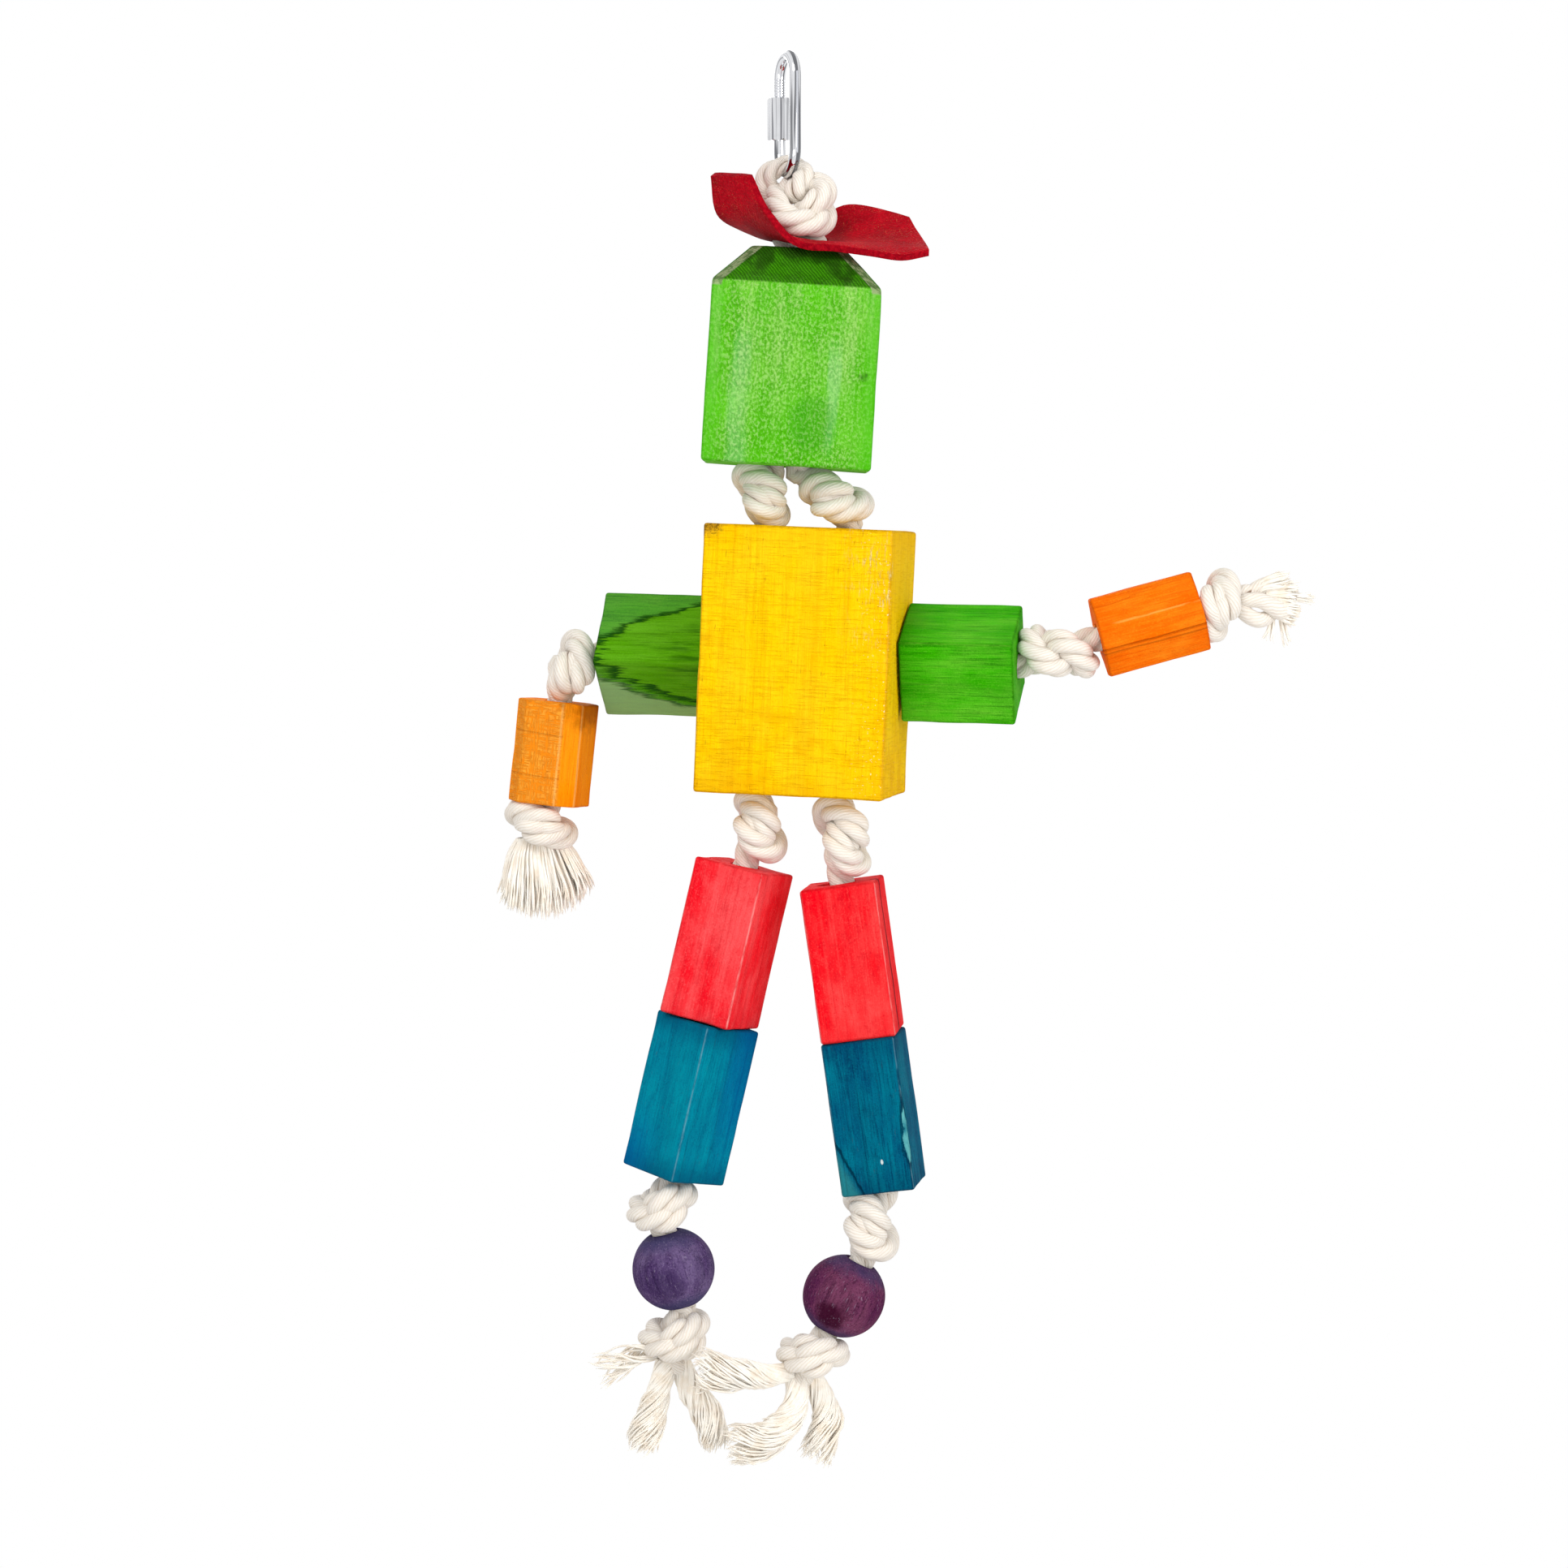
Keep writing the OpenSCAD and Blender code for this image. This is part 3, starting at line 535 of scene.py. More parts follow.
def dye_wood(piece, name, size, dark, mid, pale, pith=(60, 80), rings=7.0, lines=0.3, fibre=0.5, blotch=0.6,
             edge_dye_and_shade=0.45, wear=0.4, worn=None, grit=0.35, flecks=0.2, painted_end_shade=0.15, mottle=0.0, seed=0.0,
             extra=None):
    """Dyed softwood: growth rings round a pith line, fibres along the block, and dye that takes unevenly."""
    material, w = new_material(name)
    grain = w.node("Attribute", {}, 1, attribute_name="grain")
    here = w.node("Mapping", {"Vector": grain, "Location": (seed, 1.7 * seed, 0.6 * seed)})
    x, y, z = grain.parts()
    warp = w.drawn(here, 0.3, 0.05, 2) - 0.5
    ragged = w.drawn(here, 0.16, 0.8, 3, 0.65) - 0.5
    across = x - pith[0] + warp * 8
    deep = y - pith[1] + warp * 6
    ring = w.math("FRACT", ((across * across + deep * deep) ** 0.5 + ragged * 1.5) / rings)
    late = ring.ramp(0.5, 0.95) * ring.ramp(1.0, 0.96)
    fine = w.drawn(here, 0.03, 3.0, 3, 0.6)
    thread = w.drawn(here, 0.04, 1.1, 4, 0.62)
    streak = w.drawn(here, 0.025, 0.3, 3, 0.6)
    cloud = w.drawn(here, 0.5, 0.08, 3, 0.6)
    sand = w.noise(here, 2.0, 3, 0.65)
    patch = w.drawn(here, 0.7, 0.3, 6, 0.72)
    dash = w.drawn(here, 0.2, 1.3, 2).ramp(0.67, 0.74)
    rub = w.drawn(here, 0.25, 0.5, 4, 0.7)
    near = [size[0] / 2 - abs(x), size[1] / 2 - abs(y), w.smaller(z * -1.0, z + size[2])]
    low = w.smaller(near[0], near[1])
    high = w.larger(near[0], near[1])
    edge = w.larger(low, w.smaller(high, near[2]))
    tone = w.coats(
        mid,
        (cloud.ramp(0.35, 0.7) * blotch, pale),
        (streak.ramp(0.52, 0.72) * blotch * 0.6, pale),
        (streak.ramp(0.46, 0.28) * 0.4, dark),
        (late * lines, dark),
        (patch.ramp(0.5, 0.68) * mottle, dark),
        (patch.ramp(0.47, 0.3) * mottle * 0.7, pale),
        (thread.ramp(0.5, 0.74) * fibre * 0.75, dark),
        (fine.ramp(0.5, 0.68) * fibre * 0.55, dark),
        (fine.ramp(0.46, 0.32) * fibre * 0.3, pale),
        (sand.ramp(0.52, 0.74) * grit, pale),
        (sand.ramp(0.46, 0.28) * grit, dark),
        (dash * flecks, w.mix(0.55, dark, dye(84, 50, 20))),
        # Painted shade near both ends of the block, where it meets the next piece; strongest on the shins
        # under the thighs.
        ((near[2] - cloud * 6).ramp(6.0, -2.0) * painted_end_shade, dark),
        # Darker along every arris: partly dye taken up at the edges, partly painted shade where the eased
        # edges turn away.
        ((edge + rub * 1.2).ramp(1.6, 0.7) * edge_dye_and_shade, w.mix(0.4, dark, dye(40, 26, 10))),
        ((high + rub * 0.9).ramp(1.15, 0.65) * rub.ramp(0.36, 0.56) * wear, worn or pale))
    height = thread * 0.8 + fine * 0.5 + sand * 0.5 - late * 0.4
    if extra:
        tone, height = extra(w, here, x, y, z, tone, height)
    w.surface(tone, thread * 0.2 + 0.55, w.bump(height, 0.7, 0.0006), Specular_IOR_Level=0.015)
    piece.data.materials.append(material)


def stippled_head(w, here, x, y, z, tone, height):
    """Stippled faces with painted highlights and painted shade on the stipple, two pale streaks, sawn bevels
    with slanting marks and a painted hat shadow, and a small dark knot.
    """
    pits = w.drawn(here, 0.7, 1.35, 3, 0.6)
    front = abs(y).ramp(21, 23)
    even = abs(x).ramp(24, 17) * 0.7 + 0.3
    strong = front * even * (w.noise(here, 0.06, 2).ramp(0.3, 0.6) * 0.5 + 0.5)
    streaky = w.drawn(here, 0.06, 0.28, 4, 0.65)
    lane = w.drawn(here, 0.12, 0.3, 4, 0.65) * 9
    light = w.larger(abs(x - 16.5 + lane).ramp(2.6, 0.2) * z.ramp(-24, -36) * z.ramp(-64, -52),
                     abs(x + 11.0 + lane).ramp(4.0, 0.4) * z.ramp(-20, -34) * 0.8)
    deep = ((x - 7) ** 2.0 / 60 + (z + 52) ** 2.0 / 90 + w.noise(here, 0.15) * 0.8).ramp(1.5, 0.7)
    bevel = z.ramp(-11.7, -10.9)
    hip = abs(abs(x) - abs(y) - 1).ramp(3.2, 2.8) * z.ramp(-13.4, -12.6)
    marks = w.math("SINE", x * 6.0 + (z + y) * 2.6 + w.noise(here, 0.5) * 6) * 0.5 + 0.5
    sawn_with_hat_shadow = w.mix(marks * 0.75, dye(62, 140, 8), dye(12, 62, 0))
    # Painted shadow: the hat's shadow darkens the upper part of the sawn bevels.
    sawn_with_hat_shadow = w.mix((w.noise(here, 0.12, 3) + z * 0.02).ramp(0.26, 0.46) * 0.85, sawn_with_hat_shadow, dye(10, 38, 0))
    bare = w.mix(w.noise(here, 0.5, 3).ramp(0.4, 0.6), dye(162, 172, 130), dye(100, 122, 76))
    spot = ((x - 21) ** 2.0 + (z + 37.5) ** 2.0 + w.noise(here, 0.8) * 6).ramp(6.0, 2.5) * front
    tone = w.coats(
        tone,
        (streaky.ramp(0.46, 0.66) * front * z.ramp(-62, -30) * 0.5, dye(170, 222, 118)),
        (z.ramp(-26, -60) * front * 0.45, dye(84, 198, 2)),
        ((abs(x) + streaky * 8).ramp(21, 28) * front * 0.5, dye(62, 174, 8)),
        # Painted highlights on the raised stipple and painted shade in its pits.
        (pits.ramp(0.48, 0.62) * strong * 0.42, dye(200, 238, 150)),
        (pits.ramp(0.5, 0.38) * strong * 0.55, dye(66, 168, 6)),
        (light * front * 0.13, dye(206, 242, 220)),
        (deep * front * 0.35, dye(58, 160, 34)),
        (bevel * 0.92, sawn_with_hat_shadow),
        (hip * 0.8, bare),
        (spot * 0.7, dye(52, 92, 34)))
    return tone, height + strong * pits * 7 + bevel * marks


head = sawn_block("head_wood", HEAD, head_frame, 3.1, bevel=11.0, hip=1.6, bores=((PAIR + 0.5, None),))
dye_wood(head, "leaf green head", HEAD, dye(44, 148, 8), dye(94, 200, 26), dye(158, 226, 92), rings=14,
         lines=0.12, fibre=0.35, edge_dye_and_shade=0.5, wear=0.3, worn=dye(110, 200, 70), flecks=0.05, seed=4.0,
         extra=stippled_head)
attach(head, "head")
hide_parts("head_block")

# Neck: below the head each leg of the rope is tied in its own overhand knot, and goes on into the body.
SIDES = ("left", "right")
DOWN = (0, 0, -1)
LEG_BORE = (12.5, -6.0)
NECK_RUN = Vector((7.8, 6, -17.9))
BODY_LEAN = 2.4
BODY_TURN = -10
LEAD = 1.6
END_R = 4.0


def knot_route(top, out, foot, into, hand, spin, height, bulge=(0, 0, 0), tuck=6.0, wide=1.0, axis=None):
    """A rope that leaves its bore at top along out, makes a knot and goes into the next bore at foot."""
    down = Vector(axis or foot - top).normalized()
    back = (Vector((0, 1, 0)) - down * down.y).normalized()
    right = back.cross(-down)
    turn = math.radians(spin)
    ex = right * math.cos(turn) + back * math.sin(turn)
    ey = back * math.cos(turn) - right * math.sin(turn)
    centre = (top + foot) / 2 + Vector(bulge)
    core = [(*(centre + ex * x + ey * y - down * z), r) for x, y, z, r in knot_core(height, hand, wide)]
    return ([(*p, END_R) for p in (top - out * tuck, top, top + out * LEAD)] + core
            + [(*p, END_R) for p in (foot - into * LEAD, foot, foot + into * tuck)])


def heading(place, v):
    return place.to_3x3() @ Vector(v)


def half_of(knot, name, at, normal):
    """A copy of a knot's mesh, cut through the middle, that keeps the side the normal points to."""
    half = add_object(name, knot.data.copy())
    pick_up(half)
    mode_set(mode="EDIT")
    bpy.ops.mesh.select_all(action="SELECT")
    bpy.ops.mesh.bisect(plane_co=at, plane_no=normal, clear_inner=True)
    mode_set(mode="OBJECT")
    return half


def bending_knot(node, route, top, foot):
    """A knot cut through its middle into an upper and a lower half."""
    knot = lay_rope(node, route, rope_cotton)
    start, end = 0.001 * top, 0.001 * foot
    at, normal = (start + end) / 2, (start - end).normalized()
    above = half_of(knot, node + "_upper", at, normal)
    below = half_of(knot, node + "_lower", at, -normal)
    bpy.data.objects.remove(knot)
    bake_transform(above)
    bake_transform(below)
    for half in (above, below):
        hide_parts(node)


head_foot = head_frame @ Vector((0, 0, -HEAD[2]))
body_frame = Matrix.Translation(head_foot + NECK_RUN) @ turn_by(BODY_LEAN, "Y") @ turn_by(BODY_TURN, "Z")
for s, side in enumerate(SIDES):
    top = head_frame @ Vector((SIGNS[s] * PAIR / 2, 0, -HEAD[2] - SEAT))
    foot = body_frame @ Vector((SIGNS[s] * LEG_BORE[0], LEG_BORE[1], SEAT))
    route = knot_route(
        top, heading(head_frame, DOWN), foot, heading(body_frame, DOWN), -1, (10, -14)[s], (16.8, 17.2)[s],
        ((-2.5, -1, 0.4), (3.4, -1, 0))[s], axis=((-0.32, 0, -1), (0.34, -0.1, -1))[s])
    bending_knot("neck_knot_" + side, route, top, foot)

# Body: the largest block, dyed golden yellow, with bores for the two leg ropes and one across for the arm
# rope. A worn dark corner, faint saw lines across the front and a few scuffs show bare wood.
BODY = (57.0, 48.0, 80.0)
ARM_LEAN = 1.1
ACROSS = shift(0, 8, -BODY[2] / 2) @ turn_by(-ARM_LEAN, "Y")


def body_scuffs(w, here, x, y, z, tone, height):
    front = y.ramp(-20, -23)
    lines = w.noise(w.grow(here, (0.12, 0.12, 2.4)), 1.1, 2).ramp(0.52, 0.7)
    bands = w.drawn(here, 0.02, 0.16, 3).ramp(0.5, 0.66)
    stain = (w.noise(w.grow(here, (0.6, 1, 1)), 0.12, 4, 0.65) - z * 0.003).ramp(0.66, 0.84)
    crackle = w.noise(here, 1.1, 4, 0.7)
    corner = ((x + 28) ** 2.0 * 0.7 + z ** 2.0 * 1.4 + crackle * 40).ramp(52, 24) * front
    scuff = w.noise(w.grow(here, (1.6, 1, 0.3)), 0.9, 4, 0.72).ramp(0.52, 0.64)
    rubbed = x.ramp(12, 24) * z.ramp(-44, -14) * front * w.noise(here, 0.12, 2).ramp(0.4, 0.6)
    chips = w.noise(here, 1.3, 2).ramp(0.66, 0.72) * x.ramp(16, 26) * front
    tone = w.coats(
        tone,
        (lines * 0.16, dye(214, 140, 0)),
        (bands * 0.35, dye(240, 172, 0)),
        (stain * 0.3, dye(226, 150, 0)),
        (abs(z + 50 + x * 0.03).ramp(0.4, 0.1) * x.ramp(-10, 12) * front * 0.14, dye(190, 120, 0)),
        (corner * 0.8, w.mix(crackle.ramp(0.4, 0.55), dye(70, 44, 20), dye(176, 122, 30))),
        (scuff * rubbed * 0.7, dye(255, 236, 160)),
        (chips * 0.7, dye(255, 240, 190)))
    return tone, height - lines * 0.4 - scuff * rubbed


body = sawn_block("body_wood", BODY, body_frame, 7.7, cells=14, bores=(
    *((BORE, shift(sign * LEG_BORE[0], LEG_BORE[1], -BODY[2] / 2)) for sign in SIGNS),
    (BORE, ACROSS @ turn_by(90, "Y"))))
dye_wood(body, "golden yellow body", BODY, dye(224, 148, 0), dye(253, 201, 0), dye(255, 216, 30),
         pith=(90, 120), rings=13, lines=0.12, fibre=0.45, blotch=0.4, edge_dye_and_shade=0.65, wear=0.2,
         worn=dye(255, 226, 120), grit=0.3, flecks=0.5, seed=11.0, extra=body_scuffs)
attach(body, "torso")
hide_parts("body_block", "body_ropes", "arm_rope")

# Upper arms: two square blocks on the arm rope, dyed a darker green. The left one turns an edge to the
# front and shows its growth rings as dark arches; the right one is cut along the grain.
ARM = (27.0, 27.0, 34.5)
HALF_DIAGONAL = 0.71
ARM_START = BODY[0] / 2 + SEAT + HALF_DIAGONAL * ARM[0] * math.sin(math.radians(ARM_LEAN))
arm_frame = body_frame @ ACROSS


def arched_grain(w, here, x, y, z, tone, height):
    """One flame of growth rings that opens towards the body, yellowish inside it and paler outside, palest on
    the lower side with painted light bounced from below.
    """
    rise = (x * lowest.x + y * lowest.y) * -1.0
    fray = w.drawn(here, 0.09, 0.75, 4, 0.7) - 0.5
    sway = w.drawn(here, 0.5, 0.11, 2) - 0.5
    flame = (rise - 1) ** 2.0 / 240 + (fray * 22 + sway * 14 - z) / 33
    shade = w.drawn(here, 0.12, 0.3, 4, 0.65)
    line = flame.ramp(0.95, 1.0) * flame.ramp(1.15, 1.01)
    inner = flame - 0.27
    rings = w.larger(line, inner.ramp(0.95, 1.0) * inner.ramp(1.14, 1.01) * rise.ramp(3, -3) * 0.75)
    tone = w.coats(
        tone,
        (flame.ramp(1.0, 0.97) * 0.4, dye(96, 166, 0)),
        (shade.ramp(0.48, 0.66) * flame.ramp(0.9, 0.2) * 0.65, dye(20, 78, 0)),
        (flame.ramp(1.0, 1.1) * rise.ramp(-1, 5) * 0.35, dye(84, 160, 70)),
        # Painted light: the lower side, found from the world's down, is lightened as if lit from below.
        (flame.ramp(1.15, 1.4) * rise.ramp(0, -5) * 0.75, dye(146, 182, 124)),
        (rings * 0.88, dye(6, 62, 8)))
    return tone, height - rings


for s, side in enumerate(SIDES):
    place = (arm_frame @ turn_by((51, 26)[s], "X") @ shift(SIGNS[s] * ARM_START, 0, 0)
             @ turn_by(-90 * SIGNS[s], "Y"))
    lowest = place.to_3x3().inverted() @ Vector(DOWN)
    arm = sawn_block("upper_arm_wood_" + side, ARM, place, 13.3 + 5 * s)
    look = (dict(lines=0.1, fibre=1.0, blotch=0.35, wear=0.3, seed=2.0, extra=arched_grain),
            dict(pith=(46, 60), rings=9, lines=0.2, fibre=0.9, blotch=0.5, wear=0.4, seed=23.0))[s]
    dye_wood(arm, "grass green arm " + side, ARM, (dye(8, 66, 0), dye(12, 100, 0))[s],
             (dye(72, 152, 4), dye(54, 178, 0))[s], (dye(124, 190, 60), dye(120, 204, 56))[s], edge_dye_and_shade=0.5,
             **look)
    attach(arm, "upper_arm_" + side)
    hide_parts("upper_arm_" + side)

# Elbows: the arm rope is knotted again outside each upper arm. The left one turns down round the block's
# end, and the right one runs on out to the raised forearm.
ELBOW_RUN = (Vector((-14.2, 0, -14.6)), Vector((23.4, -3.5, 8.2)))
ARM_REACH = ARM_START + ARM[2]
arm_ends = [arm_frame @ Vector((sign * (ARM_REACH + SEAT), 0, 0)) for sign in SIGNS]


def hung_frames(tops, runs, leans):
    """The frames of a pair of pieces that hang on the ropes from tops, each leaned about Y."""
    return [Matrix.Translation(top + run) @ turn_by(lean, "Y") for top, run, lean in zip(tops, runs, leans)]


forearm_frames = hung_frames(arm_ends, ELBOW_RUN, (5.8, -105.3))
for s, side in enumerate(SIDES):
    foot = forearm_frames[s] @ Vector((0, 0, SEAT))
    route = knot_route(
        arm_ends[s], heading(arm_frame, (SIGNS[s], 0, 0)), foot, heading(forearm_frames[s], DOWN), (-1, 1)[s],
        (20, 0)[s], (16, 21.2)[s], ((-3.4, 0, 3.7), (0, 0, 0))[s], axis=((-1, 0, -0.25), None)[s])
    elbow = lay_rope("elbow_knot_rope_" + side, route, rope_cotton)
    0.001 * arm_ends[s]
    0.001 * foot
    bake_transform(elbow)
    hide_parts("elbow_knot_" + side)

# Forearms: square sticks with their long edges planed off, dyed orange. The left one keeps the saw's cross
# marks on one side and a brown stain at its top; both show a painted highlight along their planed edges.
FOREARM = (22.0, 22.0, 31.5)


def sawn_face(w, here, x, y, z, tone, height):
    front = (y + x * 0.2).ramp(-8.4, -9.2)
    weave = w.larger(w.noise(w.grow(here, (0.25, 0.25, 2.2)), 1.0, 2).ramp(0.46, 0.62),
                     w.noise(w.grow(here, (2.2, 2.2, 0.25)), 1.0, 2).ramp(0.46, 0.62))
    score = w.larger(abs(z + 10.0 + x * 0.05).ramp(0.4, 0.1), abs(z + 23.0 + x * 0.03).ramp(0.35, 0.1))
    arris_highlight = w.larger(abs(x - 6).ramp(0.5, 0.1) * y.ramp(-9, -10), abs(y + 6).ramp(0.5, 0.1) * x.ramp(9, 10))
    stain = ((z + 2) * 0.35 + (x - 6) * 0.5 + w.noise(here, 0.3, 3) * 6).ramp(2.2, 5.6)
    tone = w.coats(
        tone,
        (front * 0.6, dye(255, 172, 64)),
        (front * weave * 0.75, dye(252, 134, 4)),
        (score * front * 0.25, dye(190, 92, 14)),
        # Painted highlight along the planed arrises.
        (arris_highlight * 0.6, dye(255, 190, 104)),
        (stain * 0.55, dye(104, 40, 0)))
    return tone, height - front * (weave + score)


def planed_edges(w, here, x, y, z, tone, height):
    """A painted highlight as a bright broken line along the upper planed edge, and a dark double line along
    the lower.
    """
    over = x - y + w.drawn(here, 0.15, 0.3, 3) * 1.4
    broken = w.drawn(here, 0.4, 0.35, 3).ramp(0.38, 0.55)
    crack = w.larger(abs(over + 4.6).ramp(0.55, 0.1), abs(over + 6.4).ramp(0.45, 0.1) * 0.7)
    tone = w.coats(
        tone,
        # Painted highlight along the upper planed edge.
        (abs(over - 5.6).ramp(0.7, 0.1) * broken * 0.5, dye(255, 178, 84)),
        (crack * 0.5, dye(176, 62, 0)))
    return tone, height - crack * 2


for s, side in enumerate(SIDES):
    place = forearm_frames[s] @ turn_by((-20, 45)[s], "Z")
    forearm = sawn_block("forearm_wood_" + side, FOREARM, place, 31.0 + 7 * s, ease=0.7, chamfer=5.0, cells=8)
    dye_wood(forearm, "orange forearm " + side, FOREARM, dye(226, 84, 0),
             (dye(255, 148, 0), dye(252, 108, 0))[s], dye(255, 164, 36), pith=(40, 30), rings=8, lines=0.2,
             fibre=(0.5, 0.75)[s], blotch=0.4, wear=0.2, mottle=(0, 0.35)[s], seed=41.0 + 9 * s,
             extra=(sawn_face, planed_edges)[s])
    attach(forearm, "forearm_" + side)
    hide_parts("forearm_" + side)

# Hands: a last knot under each forearm, and the rope's end teased out into its yarns. The left hand hangs
# as a brush; the right one keeps three strands of the rope before it opens.
HAND_H = (13.2, 14.6)
HAND_RUN = (16.1, 17.1)
HAND_KNOT = (16.1, 14.6)
YARN_R = 0.42
YARN_STEPS = 13
FULL_BUNDLE = 40
hand_bundles = (
    ((520, (-1.6, 0, 6, 7), (-1.2, 0, 1, 10.8), (-0.5, 0, -5, 13.4), (0.4, 0, -11, 15.4),
      (0.6, 0, -18.5, 16.2)),),
    ((70, (0, 0.8, 1.2, 1.6), (3, 0.6, 3, 2.6), (6.5, 0.4, 3.8, 3.2), (10, 0, 4.2, 3.4)),
     (70, (3, 0.8, 0.6, 2), (6.5, 0.6, 0.4, 3), (9.5, 0.3, 0.2, 3.6), (12.5, 0, -0.4, 4)),
     (70, (5, -1.2, -3.4, 2), (7.5, -1, -4.6, 3), (9.8, -0.8, -5.4, 3.6), (12, -0.4, -6, 3.8)),
     (12, (12, 0, -0.6, 1.2), (14.6, 0, -0.8, 1.4), (17, 0, -1, 1.3)),
     (6, (5, 0, -7, 0.8), (4.6, 0, -10.5, 1.4), (3.8, 0, -14.5, 2.4)),
     (5, (7.5, 0, -7.5, 0.8), (8.2, 0, -11, 1.2), (9, 0, -15.5, 1.8))))
hand_strands = (
    ((-5.9, -1.5, -2.9, 2.2), (-3, -2.2, -5.75, 2.4), (0.2, -1.8, -7.35, 2.4), (3.1, -0.6, -6.9, 2.2),
     (5.5, 0.8, -5.2, 1.8), (8, 1, -4, 0.6)),
    ((-5.5, -1, -1, 2), (-3.7, -2.4, -1.5, 2.2), (0.6, -3, -1.5, 2.3), (4.2, -2.8, -3, 2.6),
     (7, -2, -4.8, 2.7), (9.6, -1.2, -6.2, 1.6)),
    ((-4.5, 1.5, -1, 2), (-2.4, 1.2, -0.4, 2.1), (0.3, 1, 2, 2.2), (3.6, 0.8, 3.6, 2), (6, 0.5, 4.2, 0.8)))


def teased(name, root, bundles, seed, material, flat, twist=0.0, curl=1.0, rounded=0.0):
    """Loose yarns that leave the knot together and spread along each bundle's line, over a soft middle."""
    pick = random.Random(seed)
    laps = [i / 4 for i in range(YARN_STEPS + 1)]
    radii = [YARN_R * (1.0 - 0.35 * (i / YARN_STEPS) ** 2) for i in range(YARN_STEPS)] + [0.1 * YARN_R]
    parts = []
    for count, *bundle in bundles:
        line = curve_through([(*(root + Vector(p[:3])), p[3]) for p in bundle], 5)
        tangents = directions([p.xyz for p in line])
        sides = carried(tangents, Vector((0, 1, 0)))
        last = len(line) - 1
        if count > FULL_BUNDLE:
            heart = [p.xyz for p in line[:int(last * 0.92)]]
            ends = len(heart) - 1
            taper = [line[i].w * flat * 0.95 * math.sqrt(1.002 - (i / ends) ** 3) for i in range(ends + 1)]
            parts.append(sweep(heart, taper, sides, tangents, 12, [i / 4 for i in range(len(heart))]))
        for _ in range(count):
            a, out = pick.uniform(0, math.tau), math.sqrt(pick.uniform(0.15, 1.0))
            bend = Vector((pick.uniform(-1, 1), pick.uniform(-1, 1), pick.uniform(-1, 1)))
            reach = pick.uniform(0.86, 1.0) if pick.random() < 0.85 else pick.uniform(0.6, 0.88)
            reach *= 1 - rounded * (out * math.sin(a)) ** 2
            lag, wave = pick.uniform(0, 1.2), pick.uniform(0.25, 0.6) * curl
            path = []
            for i in range(YARN_STEPS + 1):
                free = i / YARN_STEPS
                t = reach * last * free
                k = min(int(t), last - 1)
                p = line[k].lerp(line[k + 1], t - k)
                side = sides[k].lerp(sides[k + 1], t - k).normalized()
                across = tangents[k].cross(side)
                turn = a + twist * math.tau * free
                point = p.xyz + p.w * out * (flat * math.cos(turn) * side + math.sin(turn) * across)
                swing = noise.noise_vector(point * 0.13 + Vector((lag, lag, 0)))
                path.append(point + swing * wave * 3.0 * free + bend * 0.9 * curl * free ** 3)
            ahead = directions(path)
            parts.append(sweep(path, radii, carried(ahead, Vector((0.2, 1, 0.1))), ahead, 5, laps))
    return piece_from(name, parts, material)


def yarn_cotton(name):
    material, w = new_material(name)
    spot = w.spot()
    fuzz = w.noise(spot, 2600, 3, 0.7)
    tone = w.mix(w.noise(spot, 260, 3).ramp(0.35, 0.7), dye(252, 247, 238), dye(242, 231, 215))
    w.surface(w.mix(fuzz.ramp(0.6, 0.8) * 0.3, tone, dye(253, 249, 243)), 0.95, w.bump(fuzz, 0.4, 0.0003),
              Specular_IOR_Level=0.15, Sheen_Weight=0.2)
    return material


def unlaid(route):
    """One strand of the rope on its own, between the knot and the yarns."""
    path = even_steps(curve_through(route, 8), 0.5)
    centre = [p.xyz for p in path]
    tangents = directions(centre)
    outs = carried(tangents, Vector((0, 1, 0)))
    laps = [i / 20 for i in range(len(path))]
    points, turned, faces, laps = sweep(centre, [p.w for p in path], outs, tangents, 18, laps)
    return points, [0.4] * len(turned), faces, laps


loose_cotton = yarn_cotton("teased cotton yarn")


def rope_end(kind, side, route, root, bundles, seed, core, inside, **looks):
    """The last knot and the yarn below it. The knot stands in for the rope inside the piece above, too."""
    knot = lay_rope(kind + "_knot_rope_" + side, route, rope_cotton)
    yarn = teased(kind + "_yarn_" + side, root, bundles, seed, loose_cotton, **looks)
    for piece, node in ((knot, "_knot_"), (yarn, "_tassel_")):
        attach(piece, core + side)
        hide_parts(kind + node + side)
    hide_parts(inside + side)


for s, side in enumerate(SIDES):
    place = forearm_frames[s] @ shift(0, 0, -FOREARM[2] - SEAT)
    top, down = place @ Vector((0, 0, 0)), heading(place, DOWN)
    foot = place @ Vector((0, 0, -HAND_RUN[s]))
    route = knot_route(
        top, down, place @ Vector((0, 0, -HAND_KNOT[s])), down, -1, (0, 8)[s], HAND_H[s],
        ((-1.6, 0, 2.0), (-1.9, 0, -0.7))[s], (3.0, 0.6)[s], (1.2, 1.05)[s])
    rope_end("hand", side, route, foot + SEAT * down, hand_bundles[s], 5 + s, "forearm_core_",
             "forearm_rope_", flat=(0.6, 0.8)[s], curl=(1.0, 0.8)[s], rounded=(0.28, 0)[s])
strands = piece_from("hand_strands_right", [
    unlaid([(*(foot + Vector(q[:3])), q[3]) for q in strand]) for strand in hand_strands], rope_cotton)
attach(strands, "forearm_core_right")
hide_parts("hand_tassel_right")

